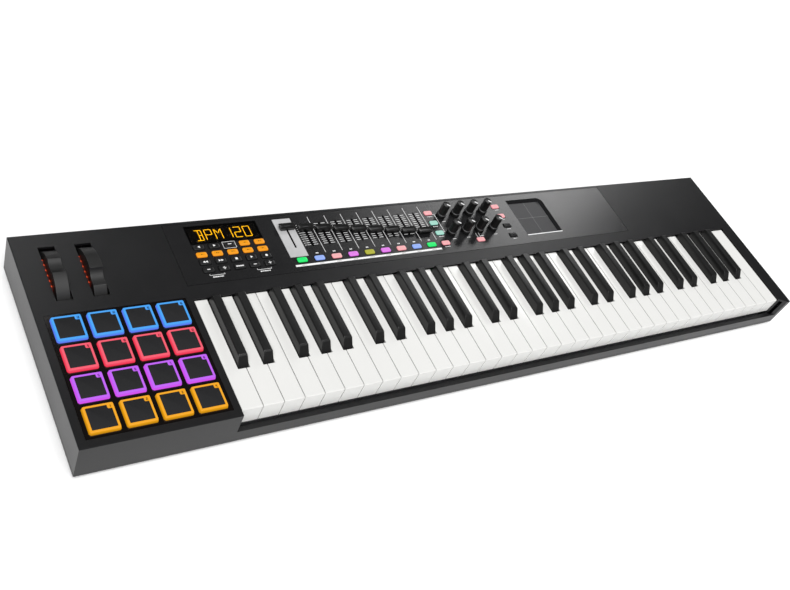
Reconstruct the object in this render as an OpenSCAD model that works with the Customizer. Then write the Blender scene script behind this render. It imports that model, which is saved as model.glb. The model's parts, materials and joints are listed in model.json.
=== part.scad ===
// Synthesizer with 61 keys, sixteen pads, two wheels, nine faders, eight knobs and a touch pad.
// Millimetres. Origin at the centre of the footprint on the floor, +X along the keys to the treble
// end, +Y to the rear, +Z up.

/* [Body] */
// Overall width, left side to right side
body_w = 1028; // [1010:1:1060]
// Overall depth, front lip to rear wall
body_d = 255.5; // [248:0.5:275]
// Height of the panels above the underside of the case
body_h = 47; // [44:0.5:56]
// Thickness of the case walls
wall = 3; // [2:0.1:3.5]
// Height of the rubber feet
foot_h = 4; // [3:0.5:8]
// Width of the block with the pads and wheels
pad_block_w = 159; // [156:0.5:165]
// Height of the front lip above the underside of the case
lip_h = 17; // [14:0.5:20]

/* [Keys] */
// Spacing of the white keys
key_pitch = 23.5; // [23:0.05:23.6]
// Visible length of a white key
white_l = 140; // [135:0.5:150]
// Distance from the white keys' front faces to the black keys' tips
black_front = 49.2; // [45:0.1:52]
// Height of a white key's front face
white_face_h = 24; // [18:0.5:25]
// Height of a black key above the white ones
black_rise = 10.2; // [9:0.1:12]
// Width of a black key at the level of the white ones
black_w = 12; // [10:0.1:12.6]
// How far the white keys' tops lie below the panels
key_drop = 2; // [1:0.1:4]

/* [Pads] */
// Spacing of the pads
pad_pitch = 34.95; // [34:0.05:36]
// Side of a pad
pad_side = 29.6; // [27:0.1:31]
// Height of a pad above its bezel
pad_rise = 3.5; // [2:0.1:5]

/* [Wheels] */
// Radius of the pitch and modulation wheels
wheel_r = 40; // [38:0.5:41]
// Width of a wheel
wheel_w = 13.4; // [9:0.1:14]
// Length of the slot around a wheel
wheel_slot_l = 70; // [66:0.5:80]

/* [Faders] */
// Spacing of the faders
fader_pitch = 22.65; // [22:0.05:24]
// Travel of a fader
fader_travel = 31; // [24:0.5:31]
// Width of a fader cap at its top
cap_w = 20.4; // [12:0.2:21]
// Height of a fader cap
cap_h = 4.2; // [3:0.1:12]

/* [Knobs] */
// Spacing of the knobs along a row
knob_pitch = 22.3; // [20:0.1:23]
// Height of a knob above the panel
knob_h = 21; // [14:0.5:28]
// Radius of a knob's grip
knob_r = 5.3; // [4.5:0.1:6]

/* [Buttons] */
// Height of a button above the panel
button_rise = 1.5; // [1:0.1:3]
// Travel of a button
button_travel = 0.8; // [0.3:0.1:0.9]

/* [Hidden] */
$fn = 48;
gap = 0.3;
x0 = -body_w / 2;
x1 = body_w / 2;
y0 = -body_d / 2;
y1 = body_d / 2;
z_base = foot_h;
z_split = z_base + 5;
z_top = z_base + body_h;
z_lip = z_base + lip_h;
kx = x0 + pad_block_w + 1;
ky = y0 + 7.5;
key_span = 36 * key_pitch;
z_key = z_top - key_drop;
z_skirt = z_key - white_face_h;
panel_y0 = ky + white_l - 0.25;
cheek_x = kx + key_span + 0.8;
skin_z = z_top - wall;
layer = 1.5;
z_ledge = z_top - layer;
panel_back = 2;
z_under = z_ledge - panel_back;

// Centres of the five black keys of an octave, and half the slot each stands in
black_at = [0.9, 2.1, 3.857, 5, 6.143];
black_slot = black_w / 2 + 0.7;
octave = 7 * key_pitch;
side_gap = 0.45;

// Control panel plate, seen from above
cp_x0 = kx - 0.8;
cp_x1 = kx + 658.5;
cp_y0 = ky + 158;
cp_y1 = y1 - 4;

// Display, its buttons and the pad bezel
disp_x0 = kx + 22.5;
disp_w = 86.5;
disp_y0 = ky + 213;
disp_d = 26.5;
grid_x = kx + 29.3;
grid_px = 18.2;
grid_y = ky + 208;
grid_py = 10.8;
button_w = 12.4;
button_d = 7.2;
fader_x = kx + 142.6;
fader_y = ky + 211;
fader_slot_l = fader_travel + 5;
fader_first = fader_travel / 2 - 3.5;
fader_step = (fader_travel - 3.8) / 8;
fbutton_y = ky + 174.5;
fbutton_w = 12.8;
fbutton_d = 6.8;
side_w = 11.8;
side_d = 6.8;
side_x = kx + 345.6;
side_y = ky + 174.6;
side_py = 17;
right_x = kx + 455.6;
single_x = kx + 401;
single_y = ky + 173.6;
knob_x = kx + 362.5;
knob_y = ky + 189.7;
knob_py = 29.8;
xy_x0 = kx + 479.5;
xy_y0 = ky + 172.5;
xy_side = 62;
xy_slope = 4;
xy_lap = 2;
bezel_x0 = kx - 151.5;
bezel_x1 = kx - 8.5;
bezel_y0 = ky + 1.2;
bezel_y1 = ky + 143;
pad_x = kx - 132.4;
pad_y = ky + 19.4;
plate_x = fader_x - 1.2;
plate_w = 23;
plate_y0 = ky + 179.5;
plate_d = 58.5;
wheel_slot_w = 16.6;
wheel_y = ky + 194.7;
wheel_sx = [kx - 126.6, kx - 90];
wheel_off = 0.3;
wheel_z = z_top - 27;
notch_r = 14;
notch_half = 9;
mod_turn = 25;
light_gap = 0.5;
light_w = 1.2;

// Heights of the parts under the panel
board_t = 1.6;
z_board = z_under - 11;
z_switch = z_under - 3.6;
z_floor = z_base + wall;
z_frame = z_floor + 3;
arm_z0 = z_skirt - 3;
arm_z1 = arm_z0 + 11;
pivot_y = ky + 200;
pivot_z = arm_z0 + 3.6;
arm_l = 206;

// Block between two corners
module box(xa, xb, ya, yb, za, zb) {
  translate([xa, ya, za]) cube([xb - xa, yb - ya, zb - za]);
}

// Upright block centred on a point of the panel
module post(x, y, w, d, za, zb) {
  translate([x - w / 2, y - d / 2, za]) cube([w, d, zb - za]);
}

// Upright round bar
module bar(x, y, r, za, zb) {
  translate([x, y, za]) cylinder(r = r, h = zb - za);
}

// Prism along X of an outline given as [y, z] points
module along_x(xa, xb, outline) {
  translate([xa, 0, 0]) rotate([90, 0, 90]) linear_extrude(xb - xa) polygon(outline);
}

// Prism along Y of an outline given as [x, z] points
module along_y(ya, yb, outline) {
  translate([0, yb, 0]) rotate([90, 0, 0]) linear_extrude(yb - ya) polygon(outline);
}

// Square with cut corners, upright
module cut_square(x, y, side, cut, za, zb) {
  h = side / 2;
  k = h - cut;
  translate([x, y, za])
    linear_extrude(zb - za)
      polygon([[-k, -h], [k, -h], [h, -k], [h, k], [k, h], [-k, h], [-h, k], [-h, -k]]);
}

function white_x(i) = kx + i * key_pitch;
function fader_cx(i) = fader_x + i * fader_pitch;
function fader_rest(i) = fader_y + fader_first - fader_step * i;
function knob_cx(i) = knob_x + (i % 4) * knob_pitch;
function knob_cy(i) = knob_y + (i < 4 ? knob_py : 0);
function grid_cx(c) = grid_x + c * grid_px;
function grid_cy(r) = grid_y - r * grid_py;
function is_orange(r, c) = r == 1 || (r == 0 && c > 2);

// ---- Case ----------------------------------------------------------------------------------

// Screw places, from the centre of the footprint
screw_at = [
  [x0 + 7.5, y0 + 11.5], [x0 + 7.5, y1 - 9], [x1 - 7.5, y1 - 9], [x1 - 7.5, y0 + 11.5],
  [x0 + 70, y1 - 8], [x1 - 100, y1 - 8],
  [x0 + 260, y0 + 3.4], [x0 + 470, y0 + 3.4], [x0 + 680, y0 + 3.4], [x0 + 890, y0 + 3.4]
];

module case_hull() {
  c = 0.8;
  intersection() {
    along_x(x0, x1, [[y0, z_split], [y1, z_split], [y1, z_top - c], [y1 - c, z_top],
                     [y0 + c, z_top], [y0, z_top - c]]);
    along_y(y0, y1, [[x0, z_split], [x1, z_split], [x1, z_top - c], [x1 - c, z_top],
                     [x0 + c, z_top], [x0, z_top - c]]);
  }
}

// Recess with a ledge for a plate that lies flush in the top
module ledge_cut(xa, xb, ya, yb) {
  box(xa - gap, xb + gap, ya - gap, yb + gap, z_ledge, z_top + 1);
  box(xa + 3, xb - 3, ya + 3, yb - 3, skin_z - 1, z_top);
}

module top_case() {
  color([0.11, 0.11, 0.12]) {
    difference() {
      case_hull();
      // inside of the pad block, of the rear and of the right cheek
      box(x0 + wall, kx - 1 - wall, y0 + wall, y1 - wall, z_split - 1, skin_z);
      box(kx - 1 - wall - 1, x1 - wall, panel_y0, y1 - wall, z_split - 1, skin_z);
      box(cheek_x + wall, x1 - wall, y0 + wall, panel_y0 + 1, z_split - 1, skin_z);
      // opening for the keys, open to the front above the lip
      box(kx - 1, cheek_x, ky - 0.8, panel_y0, z_split - 1, z_top + 1);
      box(kx - 1, cheek_x, y0 - 1, ky, z_lip, z_top + 1);
      translate([0, 0, z_lip])
        linear_extrude(z_top)
          polygon([[cheek_x - 1, ky], [cheek_x, ky], [cheek_x + 14.5, y0 - 0.1],
                   [cheek_x - 1, y0 - 0.1]]);
      ledge_cut(cp_x0, cp_x1, cp_y0, cp_y1);
      ledge_cut(bezel_x0, bezel_x1, bezel_y0, bezel_y1);
      for (x = wheel_sx)
        box(x - wheel_slot_w / 2, x + wheel_slot_w / 2, wheel_y - wheel_slot_l / 2,
            wheel_y + wheel_slot_l / 2, skin_z - 1, z_top + 1);
      // rear sockets
      box(usb_x - 6.4, usb_x + 6.4, y1 - wall - 1, y1 + 1, z_rear - 6, z_rear + 6);
      for (i = [0:2])
        translate([jack_x + i * jack_px, y1 + 1, z_rear]) rotate([90, 0, 0]) cylinder(r = 6.4, h = wall + 3);
      for (p = screw_at)
        if (p.y < y0 + 5) bar(p.x, p.y, 1.65, z_split - 1, z_lip - 3);
    }
    for (p = screw_at)
      if (p.y > y0 + 5)
        difference() {
          bar(p.x, p.y, 4, z_floor + 0.2, skin_z);
          bar(p.x, p.y, 1.65, z_floor, z_floor + 14);
        }
  }
}

module bottom_case() {
  color([0.10, 0.10, 0.11])
    difference() {
      union() {
        box(x0, x1, y0, y1, z_base, z_floor);
        difference() {
          box(x0, x1, y0, y1, z_floor - 0.5, z_split);
          box(x0 + wall, x1 - wall, y0 + 6.7, y1 - wall, z_floor - 1, z_split + 1);
        }
      }
      for (p = screw_at) {
        bar(p.x, p.y, 1.9, z_base - 1, z_split + 1);
        bar(p.x, p.y, 3.1, z_base - 1, z_base + 1.9);
      }
    }
}

module feet() {
  color([0.05, 0.05, 0.05])
    for (x = [x0 + 40, -60, x1 - 40], y = [y0 + 28, y1 - 28])
      bar(x, y, 9, 0, z_base);
}

module case_screws() {
  color([0.2, 0.2, 0.21])
    for (p = screw_at) {
      difference() {
        bar(p.x, p.y, 2.9, z_base + 0.3, z_base + 1.9);
        post(p.x, p.y, 3, 0.8, z_base, z_base + 1.1);
        post(p.x, p.y, 0.8, 3, z_base, z_base + 1.1);
      }
      bar(p.x, p.y, 1.6, z_base + 1.8, z_base + 12);
    }
}

// ---- Panel plates --------------------------------------------------------------------------

// Plate that lies on a ledge, with a thicker middle
module ledge_plate(xa, xb, ya, yb) {
  box(xa, xb, ya, yb, z_ledge, z_top);
  box(xa + 3.3, xb - 3.3, ya + 3.3, yb - 3.3, z_under, z_ledge);
}

module button_hole(x, y, w, d) {
  post(x, y, w + 2 * gap, d + 2 * gap, z_under - 1, z_top + 1);
}

// Opening with four sloped walls over the touch pad
module touch_recess() {
  xb = xy_x0 + xy_side;
  yb = xy_y0 + xy_side;
  s = xy_slope;
  intersection() {
    along_x(xy_x0, xb, [[xy_y0 + s, z_under - 1], [yb - s, z_under - 1], [yb - s, z_under], [yb, z_top],
                        [yb, z_top + 1], [xy_y0, z_top + 1], [xy_y0, z_top], [xy_y0 + s, z_under]]);
    along_y(xy_y0, yb, [[xy_x0 + s, z_under - 1], [xb - s, z_under - 1], [xb - s, z_under], [xb, z_top],
                        [xb, z_top + 1], [xy_x0, z_top + 1], [xy_x0, z_top], [xy_x0 + s, z_under]]);
  }
}

module control_panel() {
  color([0.09, 0.09, 0.10])
    difference() {
      ledge_plate(cp_x0, cp_x1, cp_y0, cp_y1);
      box(disp_x0 - 0.2, disp_x0 + disp_w + 0.2, disp_y0 - 0.2, disp_y0 + disp_d + 0.2, z_ledge, z_top + 1);
      box(disp_x0 + 2, disp_x0 + disp_w - 2, disp_y0 + 2, disp_y0 + disp_d - 2, z_under - 1, z_top);
      touch_recess();
      for (r = [0:3], c = [0:4]) button_hole(grid_cx(c), grid_cy(r), button_w, button_d);
      for (i = [0:8]) {
        post(fader_cx(i), fader_y, 2.4, fader_slot_l, z_under - 1, z_top + 1);
        button_hole(fader_cx(i), fbutton_y, fbutton_w, fbutton_d);
      }
      for (i = [0:3]) {
        button_hole(side_x, side_y + i * side_py, side_w, side_d);
        button_hole(right_x, side_y + i * side_py, side_w, side_d);
      }
      button_hole(single_x, single_y, side_w, side_d);
      for (i = [0:7]) bar(knob_cx(i), knob_cy(i), 3.8, z_under - 1, z_top + 1);
    }
}

module pad_bezel() {
  color([0.03, 0.03, 0.03])
    difference() {
      ledge_plate(bezel_x0, bezel_x1, bezel_y0, bezel_y1);
      for (r = [0:3], c = [0:3])
        cut_square(pad_x + c * pad_pitch, pad_y + r * pad_pitch, pad_side + 2 * gap, 1.7, z_under - 1, z_top + 1);
    }
}

module display_window() {
  color([0.02, 0.02, 0.02])
    box(disp_x0, disp_x0 + disp_w, disp_y0, disp_y0 + disp_d, z_ledge, z_top);
}

module display_module() {
  color([0.15, 0.1, 0.02])
    box(disp_x0 + 2.4, disp_x0 + disp_w - 2.4, disp_y0 + 2.4, disp_y0 + disp_d - 2.4, z_board, z_ledge - 0.3);
}

module touch_pad() {
  color([0.05, 0.05, 0.06])
    box(xy_x0 + xy_lap, xy_x0 + xy_side - xy_lap, xy_y0 + xy_lap, xy_y0 + xy_side - xy_lap, z_under - 1.5, z_under);
}

module fader_plate() {
  color([0.75, 0.75, 0.76])
    difference() {
      box(plate_x - plate_w / 2, plate_x + plate_w / 2, plate_y0, plate_y0 + plate_d, z_top, z_top + 0.5);
      post(fader_x, fader_y, 2.4, fader_slot_l, z_top - 1, z_top + 1);
    }
}

// ---- Parts under the panel -----------------------------------------------------------------

module fader_bodies() {
  color([0.6, 0.6, 0.62])
    for (i = [0:8])
      difference() {
        post(fader_cx(i), fader_y, 10, 46, z_board, z_under);
        post(fader_cx(i), fader_y, 7, 42, z_board + 1, z_under - 1);
        post(fader_cx(i), fader_y, 2.4, fader_slot_l, z_under - 2, z_under + 1);
      }
}

module encoder_bodies() {
  color([0.5, 0.5, 0.52])
    for (i = [0:7])
      difference() {
        union() {
          post(knob_cx(i), knob_cy(i), 12, 12, z_board, z_under - 0.5);
          bar(knob_cx(i), knob_cy(i), 3.4, z_under - 0.6, z_top);
        }
        bar(knob_cx(i), knob_cy(i), 2.05, z_board + 2, z_top + 1);
      }
}

module switch_post(x, y) {
  post(x, y, 6, 6, z_board - 0.1, z_switch);
}

module control_board() {
  color([0.05, 0.25, 0.12]) {
    difference() {
      box(cp_x0 + 5, cp_x1 - 5, cp_y0 + 4, cp_y1 - 4, z_board - board_t, z_board);
      for (i = [0:3]) bar(cp_x0 + 120 + i * 140, cp_y0 + 8, 1.6, z_board - 3, z_board + 1);
    }
    for (r = [0:3], c = [0:4]) switch_post(grid_cx(c), grid_cy(r));
    for (i = [0:8]) switch_post(fader_cx(i), fbutton_y);
    for (i = [0:3]) {
      switch_post(side_x, side_y + i * side_py);
      switch_post(right_x, side_y + i * side_py);
    }
    switch_post(single_x, single_y);
    // pillars that hold the board down from the panel's underside
    for (x = [cp_x0 + 12, cp_x0 + 118, xy_x0 - 12, xy_x0 + xy_side + 12, cp_x1 - 12])
      post(x, cp_y1 - 12, 5, 5, z_board - 0.1, z_under);
  }
}

// Rear sockets
usb_x = x0 + 200;
jack_x = x0 + 240;
jack_px = 24;
z_rear = z_floor + 13;

module main_board() {
  color([0.05, 0.25, 0.12]) {
    box(x0 + 175, x0 + 330, y1 - 37, y1 - wall - 1, z_rear - 8 - board_t, z_rear - 8);
    for (x = [x0 + 180, x0 + 325], y = [y1 - 33, y1 - 12])
      bar(x, y, 2.5, z_floor, z_rear - 8 - board_t + 0.1);
  }
}

module usb_socket() {
  color([0.7, 0.7, 0.72])
    difference() {
      union() {
        box(usb_x - 6, usb_x + 6, y1 - 19, y1 - wall - 0.4, z_rear - 8, z_rear + 5.5);
        box(usb_x - 6, usb_x + 6, y1 - 5, y1 - 0.5, z_rear - 5.5, z_rear + 5.5);
      }
      box(usb_x - 4.4, usb_x + 4.4, y1 - 15, y1, z_rear - 4, z_rear + 4);
    }
}

module pedal_jacks() {
  color([0.08, 0.08, 0.08])
    for (i = [0:2])
      difference() {
        union() {
          box(jack_x + i * jack_px - 7.5, jack_x + i * jack_px + 7.5, y1 - 33, y1 - wall - 0.6,
              z_rear - 8, z_rear + 7);
          translate([jack_x + i * jack_px, y1 - 0.5, z_rear]) rotate([90, 0, 0]) cylinder(r = 5.9, h = 5);
        }
        translate([jack_x + i * jack_px, y1, z_rear]) rotate([90, 0, 0]) cylinder(r = 3.25, h = 28);
      }
}

// ---- Keys ----------------------------------------------------------------------------------

module key_frame() {
  xa = kx + 0.5;
  xb = kx + key_span - 0.5;
  color([0.35, 0.35, 0.37]) {
    box(xa, xb, ky + 6, ky + 207, z_frame, z_frame + 2);
    box(xa, xb, ky + 6, ky + 8, z_floor, z_frame);
    box(xa, xb, ky + 205, ky + 207, z_floor, z_frame);
    box(xa, xb, ky + 20, ky + 26, z_frame + 2, z_frame + 3.5);
    // knife edge the keys rock on
    along_x(xa, xb, [[pivot_y - 2.5, z_frame + 1.9], [pivot_y + 2.5, z_frame + 1.9],
                     [pivot_y + 2.5, arm_z0 - 1], [pivot_y, pivot_z], [pivot_y - 2.5, arm_z0 - 1]]);
  }
}

module key_contact_board() {
  xa = kx + 2;
  xb = kx + key_span - 2;
  color([0.06, 0.3, 0.14]) {
    box(xa, xb, ky + 118, ky + 150, z_frame + 2.8, z_frame + 2.8 + board_t);
    for (y = [ky + 120, ky + 146]) box(xa, xb, y, y + 2, z_frame + 2, z_frame + 2.9);
    // strip of rubber contact domes
    box(xa, xb, ky + 130, ky + 138, z_frame + 2.7 + board_t, z_frame + 6.6);
  }
}

// Side view of a white key, from the front face back to the arm behind the knife edge
function white_side() = [
  [ky, z_skirt], [ky, z_key - 0.9], [ky + 0.9, z_key], [ky + white_l - 1.1, z_key],
  [ky + white_l - 1.1, arm_z1], [ky + arm_l, arm_z1], [ky + arm_l, arm_z0],
  [pivot_y + 4.3, arm_z0], [pivot_y, pivot_z + 0.5], [pivot_y - 4.3, arm_z0],
  [ky + 142, arm_z0], [ky + 118, z_skirt]
];

// White key i: its own place i from 0, and the two edges of its rear part from the octave's start
module white_key(i, o, left, right) {
  wx = white_x(i);
  ox = kx + o * octave;
  sl = ox + left;
  sr = ox + right;
  difference() {
    intersection() {
      along_x(wx, wx + key_pitch, white_side());
      union() {
        box(wx + side_gap, wx + key_pitch - side_gap, ky, ky + black_front - 1.8, 0, z_top);
        box(sl, sr, ky, ky + white_l, 0, z_top);
        box(sl + 0.6, sr - 0.6, ky, ky + arm_l, 0, z_top);
      }
    }
    // the key is a shell, open below
    box(wx + side_gap + 1.7, wx + key_pitch - side_gap - 1.7, ky + 2, ky + black_front - 3.5, 0, z_key - 2.4);
    box(sl + 1.7, sr - 1.7, ky + 2, ky + 112, 0, z_key - 2.4);
  }
}

// All keys of one white note, n from 0 for C to 6 for B
module white_keys(n) {
  left = [side_gap, black_at[0] * key_pitch + black_slot, black_at[1] * key_pitch + black_slot,
          3 * key_pitch + side_gap, black_at[2] * key_pitch + black_slot,
          black_at[3] * key_pitch + black_slot, black_at[4] * key_pitch + black_slot];
  right = [black_at[0] * key_pitch - black_slot, black_at[1] * key_pitch - black_slot,
           3 * key_pitch - side_gap, black_at[2] * key_pitch - black_slot,
           black_at[3] * key_pitch - black_slot, black_at[4] * key_pitch - black_slot,
           7 * key_pitch - side_gap];
  color([0.93, 0.93, 0.92]) {
    for (o = [0:4]) white_key(o * 7 + n, o, left[n], right[n]);
    if (n == 0) white_key(35, 5, side_gap, key_pitch - side_gap);
  }
}

// All keys of one black note, n from 0 for C sharp to 4 for A sharp
module black_keys(n) {
  ztop = z_key + black_rise;
  low = z_skirt + 5;
  color([0.10, 0.10, 0.10])
    for (o = [0:4]) {
      cx = kx + o * octave + black_at[n] * key_pitch;
      intersection() {
        along_x(cx - black_w / 2, cx + black_w / 2, [
          [ky + black_front, low], [ky + black_front, z_key - 1], [ky + black_front + 6.8, ztop - 1.4],
          [ky + black_front + 9, ztop], [ky + 135.2, ztop], [ky + 136.4, ztop - 1.2],
          [ky + 136.4, arm_z1], [ky + arm_l, arm_z1], [ky + arm_l, arm_z0], [pivot_y + 4.3, arm_z0],
          [pivot_y, pivot_z + 0.5], [pivot_y - 4.3, arm_z0], [ky + 142, arm_z0], [ky + 122, low]
        ]);
        along_y(ky, ky + 210, [
          [cx - black_w / 2, 0], [cx + black_w / 2, 0], [cx + black_w / 2, z_key - 1],
          [cx + black_w / 2 - 1, ztop - 0.9], [cx + black_w / 2 - 1.9, ztop],
          [cx - black_w / 2 + 1.9, ztop], [cx - black_w / 2 + 1, ztop - 0.9], [cx - black_w / 2, z_key - 1]
        ]);
      }
    }
}

// ---- Pads ----------------------------------------------------------------------------------

// One row of pads, r from 0 at the front
module pads_row(r, tint) {
  color(tint)
    for (c = [0:3]) {
      x = pad_x + c * pad_pitch;
      y = pad_y + r * pad_pitch;
      cut_square(x, y, pad_side, 1.5, z_under - 2.1, z_top + pad_rise - 0.8);
      cut_square(x, y, pad_side - 1.6, 1.2, z_top, z_top + pad_rise);
      cut_square(x, y, pad_side + 2, 1, z_under - 3, z_under - 1.2);
    }
}

module pad_board() {
  z = z_under - 4.4;
  color([0.05, 0.25, 0.12]) {
    box(bezel_x0 + 4, bezel_x1 - 4, bezel_y0 + 4, bezel_y1 - 4, z - board_t, z);
    for (x = [bezel_x0 + 10, (bezel_x0 + bezel_x1) / 2, bezel_x1 - 10], y = [bezel_y0 + 10, bezel_y1 - 10])
      bar(x, y, 3, z_floor, z - board_t + 0.1);
  }
}

// ---- Wheels --------------------------------------------------------------------------------

// Rim sector with a hub, a finger notch on top and a bore along X
module wheel(cx, turn) {
  notch_z = sqrt(pow(wheel_r, 2) - pow(notch_half, 2)) + sqrt(pow(notch_r, 2) - pow(notch_half, 2));
  color([0.12, 0.12, 0.12])
    translate([cx, wheel_y, wheel_z])
      rotate([turn, 0, 0])
        difference() {
          rotate([0, 90, 0]) translate([0, 0, -wheel_w / 2]) cylinder(r = wheel_r, h = wheel_w, $fn = 96);
          // all below the spokes is open
          along_x(-wheel_w, wheel_w, [[0, -8], [wheel_r + 5, -8], [wheel_r + 5, -wheel_r - 5],
                                      [-wheel_r - 5, -wheel_r - 5], [-wheel_r - 5, -8]]);
          along_x(-wheel_w, wheel_w, [[9, -10], [9, 4], [wheel_r + 5, 4 + (wheel_r - 4) * 0.22],
                                      [wheel_r + 5, -10]]);
          along_x(-wheel_w, wheel_w, [[-9, -10], [-9, 4], [-wheel_r - 5, 4 + (wheel_r - 4) * 0.22],
                                      [-wheel_r - 5, -10]]);
          // finger notch, a hollow across the top
          translate([-wheel_w, 0, notch_z]) rotate([0, 90, 0]) cylinder(r = notch_r, h = 2 * wheel_w);
          rotate([0, 90, 0]) translate([0, 0, -wheel_w]) cylinder(r = 3.05, h = 2 * wheel_w);
        }
}

module pitch_wheel() { wheel(wheel_sx[0] + wheel_off, 0); }

module mod_wheel() { wheel(wheel_sx[1] + wheel_off, mod_turn); }

module wheel_cradle() {
  color([0.08, 0.08, 0.08]) {
    box(wheel_sx[0] - 14, wheel_sx[1] + 14, wheel_y - 16, wheel_y + 16, z_floor, z_floor + 2.5);
    for (x = wheel_sx) {
      cx = x + wheel_off;
      box(cx - wheel_w / 2 - 6, cx - wheel_w / 2 - 1, wheel_y - 8, wheel_y + 8, z_floor + 2.4, wheel_z + 6);
      box(cx + wheel_w / 2 + 1, cx + wheel_w / 2 + 4, wheel_y - 8, wheel_y + 8, z_floor + 2.4, wheel_z + 6);
      translate([cx - wheel_w / 2 - 1.1, wheel_y, wheel_z]) rotate([0, 90, 0]) cylinder(r = 3, h = wheel_w + 2.2);
    }
  }
}

module wheel_lights() {
  color([0.8, 0.08, 0.05])
    for (x = wheel_sx) {
      side = x + wheel_off - wheel_w / 2;
      box(side - light_gap - light_w, side - light_gap, wheel_y - 20, wheel_y + 20, wheel_z + 12, z_top - 1.5);
      box(side - 3.4, side - light_gap, wheel_y - 6, wheel_y + 6, wheel_z + 6, wheel_z + 12.1);
    }
}

// ---- Faders, knobs and buttons -------------------------------------------------------------

// Cap, stem and wiper of fader i, at its place in the falling line
module fader_cap(i) {
  x = fader_cx(i);
  y = fader_rest(i);
  zb = z_top + 1.2;
  color([0.05, 0.05, 0.05]) {
    intersection() {
      along_x(x - cap_w, x + cap_w, [[y - 3.4, zb], [y - 4.2, zb + cap_h], [y - 1.4, zb + cap_h - 0.9],
                                     [y + 1.4, zb + cap_h - 0.9], [y + 4.2, zb + cap_h], [y + 3.4, zb]]);
      along_y(y - 6, y + 6, [[x - cap_w / 2 + 1.2, zb], [x - cap_w / 2, zb + cap_h],
                             [x + cap_w / 2, zb + cap_h], [x + cap_w / 2 - 1.2, zb]]);
    }
    post(x, y, 1.6, 4, z_under - 4.5, zb + 0.5);
    post(x, y, 6, 7, z_under - 7, z_under - 4);
  }
}

// Knob i with its shaft, i from 0 along the rear row and from 4 along the front row
module knob(i) {
  x = knob_cx(i);
  y = knob_cy(i);
  z = z_top + 1;
  color([0.06, 0.06, 0.06]) {
    difference() {
      union() {
        bar(x, y, knob_r + 1, z, z + 4);
        bar(x, y, knob_r, z + 3.9, z_top + knob_h);
      }
      bar(x, y, 3.8, z - 1, z + 1);
      for (a = [0:30:330])
        translate([x, y, z + 4.6]) rotate([0, 0, a + 15]) translate([knob_r + 0.25, 0, 0])
          rotate([0, 0, 45]) translate([-0.5, -0.5, 0]) cube([1, 1, knob_h]);
    }
    bar(x, y, 2, z_board + 2.5, z + 1.1);
  }
}

module button(x, y, w, d) {
  post(x, y, w, d, z_under - 1.4, z_top + button_rise);
  post(x, y, w + 1.6, d + 1.6, z_under - 2.2, z_under - 0.3);
  post(x, y, 5, 5, z_switch + button_travel + 0.2, z_under - 1.9);
}

module buttons_orange() {
  color([0.9, 0.45, 0.08])
    for (r = [0:1], c = [0:4]) if (is_orange(r, c)) button(grid_cx(c), grid_cy(r), button_w, button_d);
}

module buttons_black() {
  color([0.05, 0.05, 0.05])
    for (r = [0:3], c = [0:4]) if (!is_orange(r, c)) button(grid_cx(c), grid_cy(r), button_w, button_d);
}

module buttons_fader() {
  color([0.4, 0.7, 0.9])
    for (i = [0:8]) button(fader_cx(i), fbutton_y, fbutton_w, fbutton_d);
}

module buttons_side() {
  color([0.9, 0.6, 0.65]) {
    for (i = [0:3]) {
      button(side_x, side_y + i * side_py, side_w, side_d);
      button(right_x, side_y + i * side_py, side_w, side_d);
    }
    button(single_x, single_y, side_w, side_d);
  }
}

top_case();
bottom_case();
control_panel();
pad_bezel();
display_window();
display_module();
fader_plate();
fader_bodies();
encoder_bodies();
control_board();
main_board();
usb_socket();
pedal_jacks();
key_frame();
key_contact_board();
pad_board();
wheel_cradle();
wheel_lights();
touch_pad();
feet();
case_screws();
pitch_wheel();
mod_wheel();
fader_cap(0);  // fader_cap_1
fader_cap(1);  // fader_cap_2
fader_cap(2);  // fader_cap_3
fader_cap(3);  // fader_cap_4
fader_cap(4);  // fader_cap_5
fader_cap(5);  // fader_cap_6
fader_cap(6);  // fader_cap_7
fader_cap(7);  // fader_cap_8
fader_cap(8);  // fader_cap_9
knob(0);  // knob_1
knob(1);  // knob_2
knob(2);  // knob_3
knob(3);  // knob_4
knob(4);  // knob_5
knob(5);  // knob_6
knob(6);  // knob_7
knob(7);  // knob_8
pads_row(0, [0.9, 0.6, 0.1]);  // pads_row_1
pads_row(1, [0.7, 0.25, 0.85]);  // pads_row_2
pads_row(2, [0.95, 0.3, 0.35]);  // pads_row_3
pads_row(3, [0.25, 0.5, 0.95]);  // pads_row_4
white_keys(0);  // keys_c
white_keys(1);  // keys_d
white_keys(2);  // keys_e
white_keys(3);  // keys_f
white_keys(4);  // keys_g
white_keys(5);  // keys_a
white_keys(6);  // keys_b
black_keys(0);  // keys_c_sharp
black_keys(1);  // keys_d_sharp
black_keys(2);  // keys_f_sharp
black_keys(3);  // keys_g_sharp
black_keys(4);  // keys_a_sharp
buttons_orange();
buttons_black();
buttons_fader();
buttons_side();
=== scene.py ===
"""Looks of a synthesizer with 61 keys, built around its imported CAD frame. Metres throughout."""

from __future__ import annotations

import json
import logging
import math
from dataclasses import dataclass, field
from enum import Enum

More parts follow.
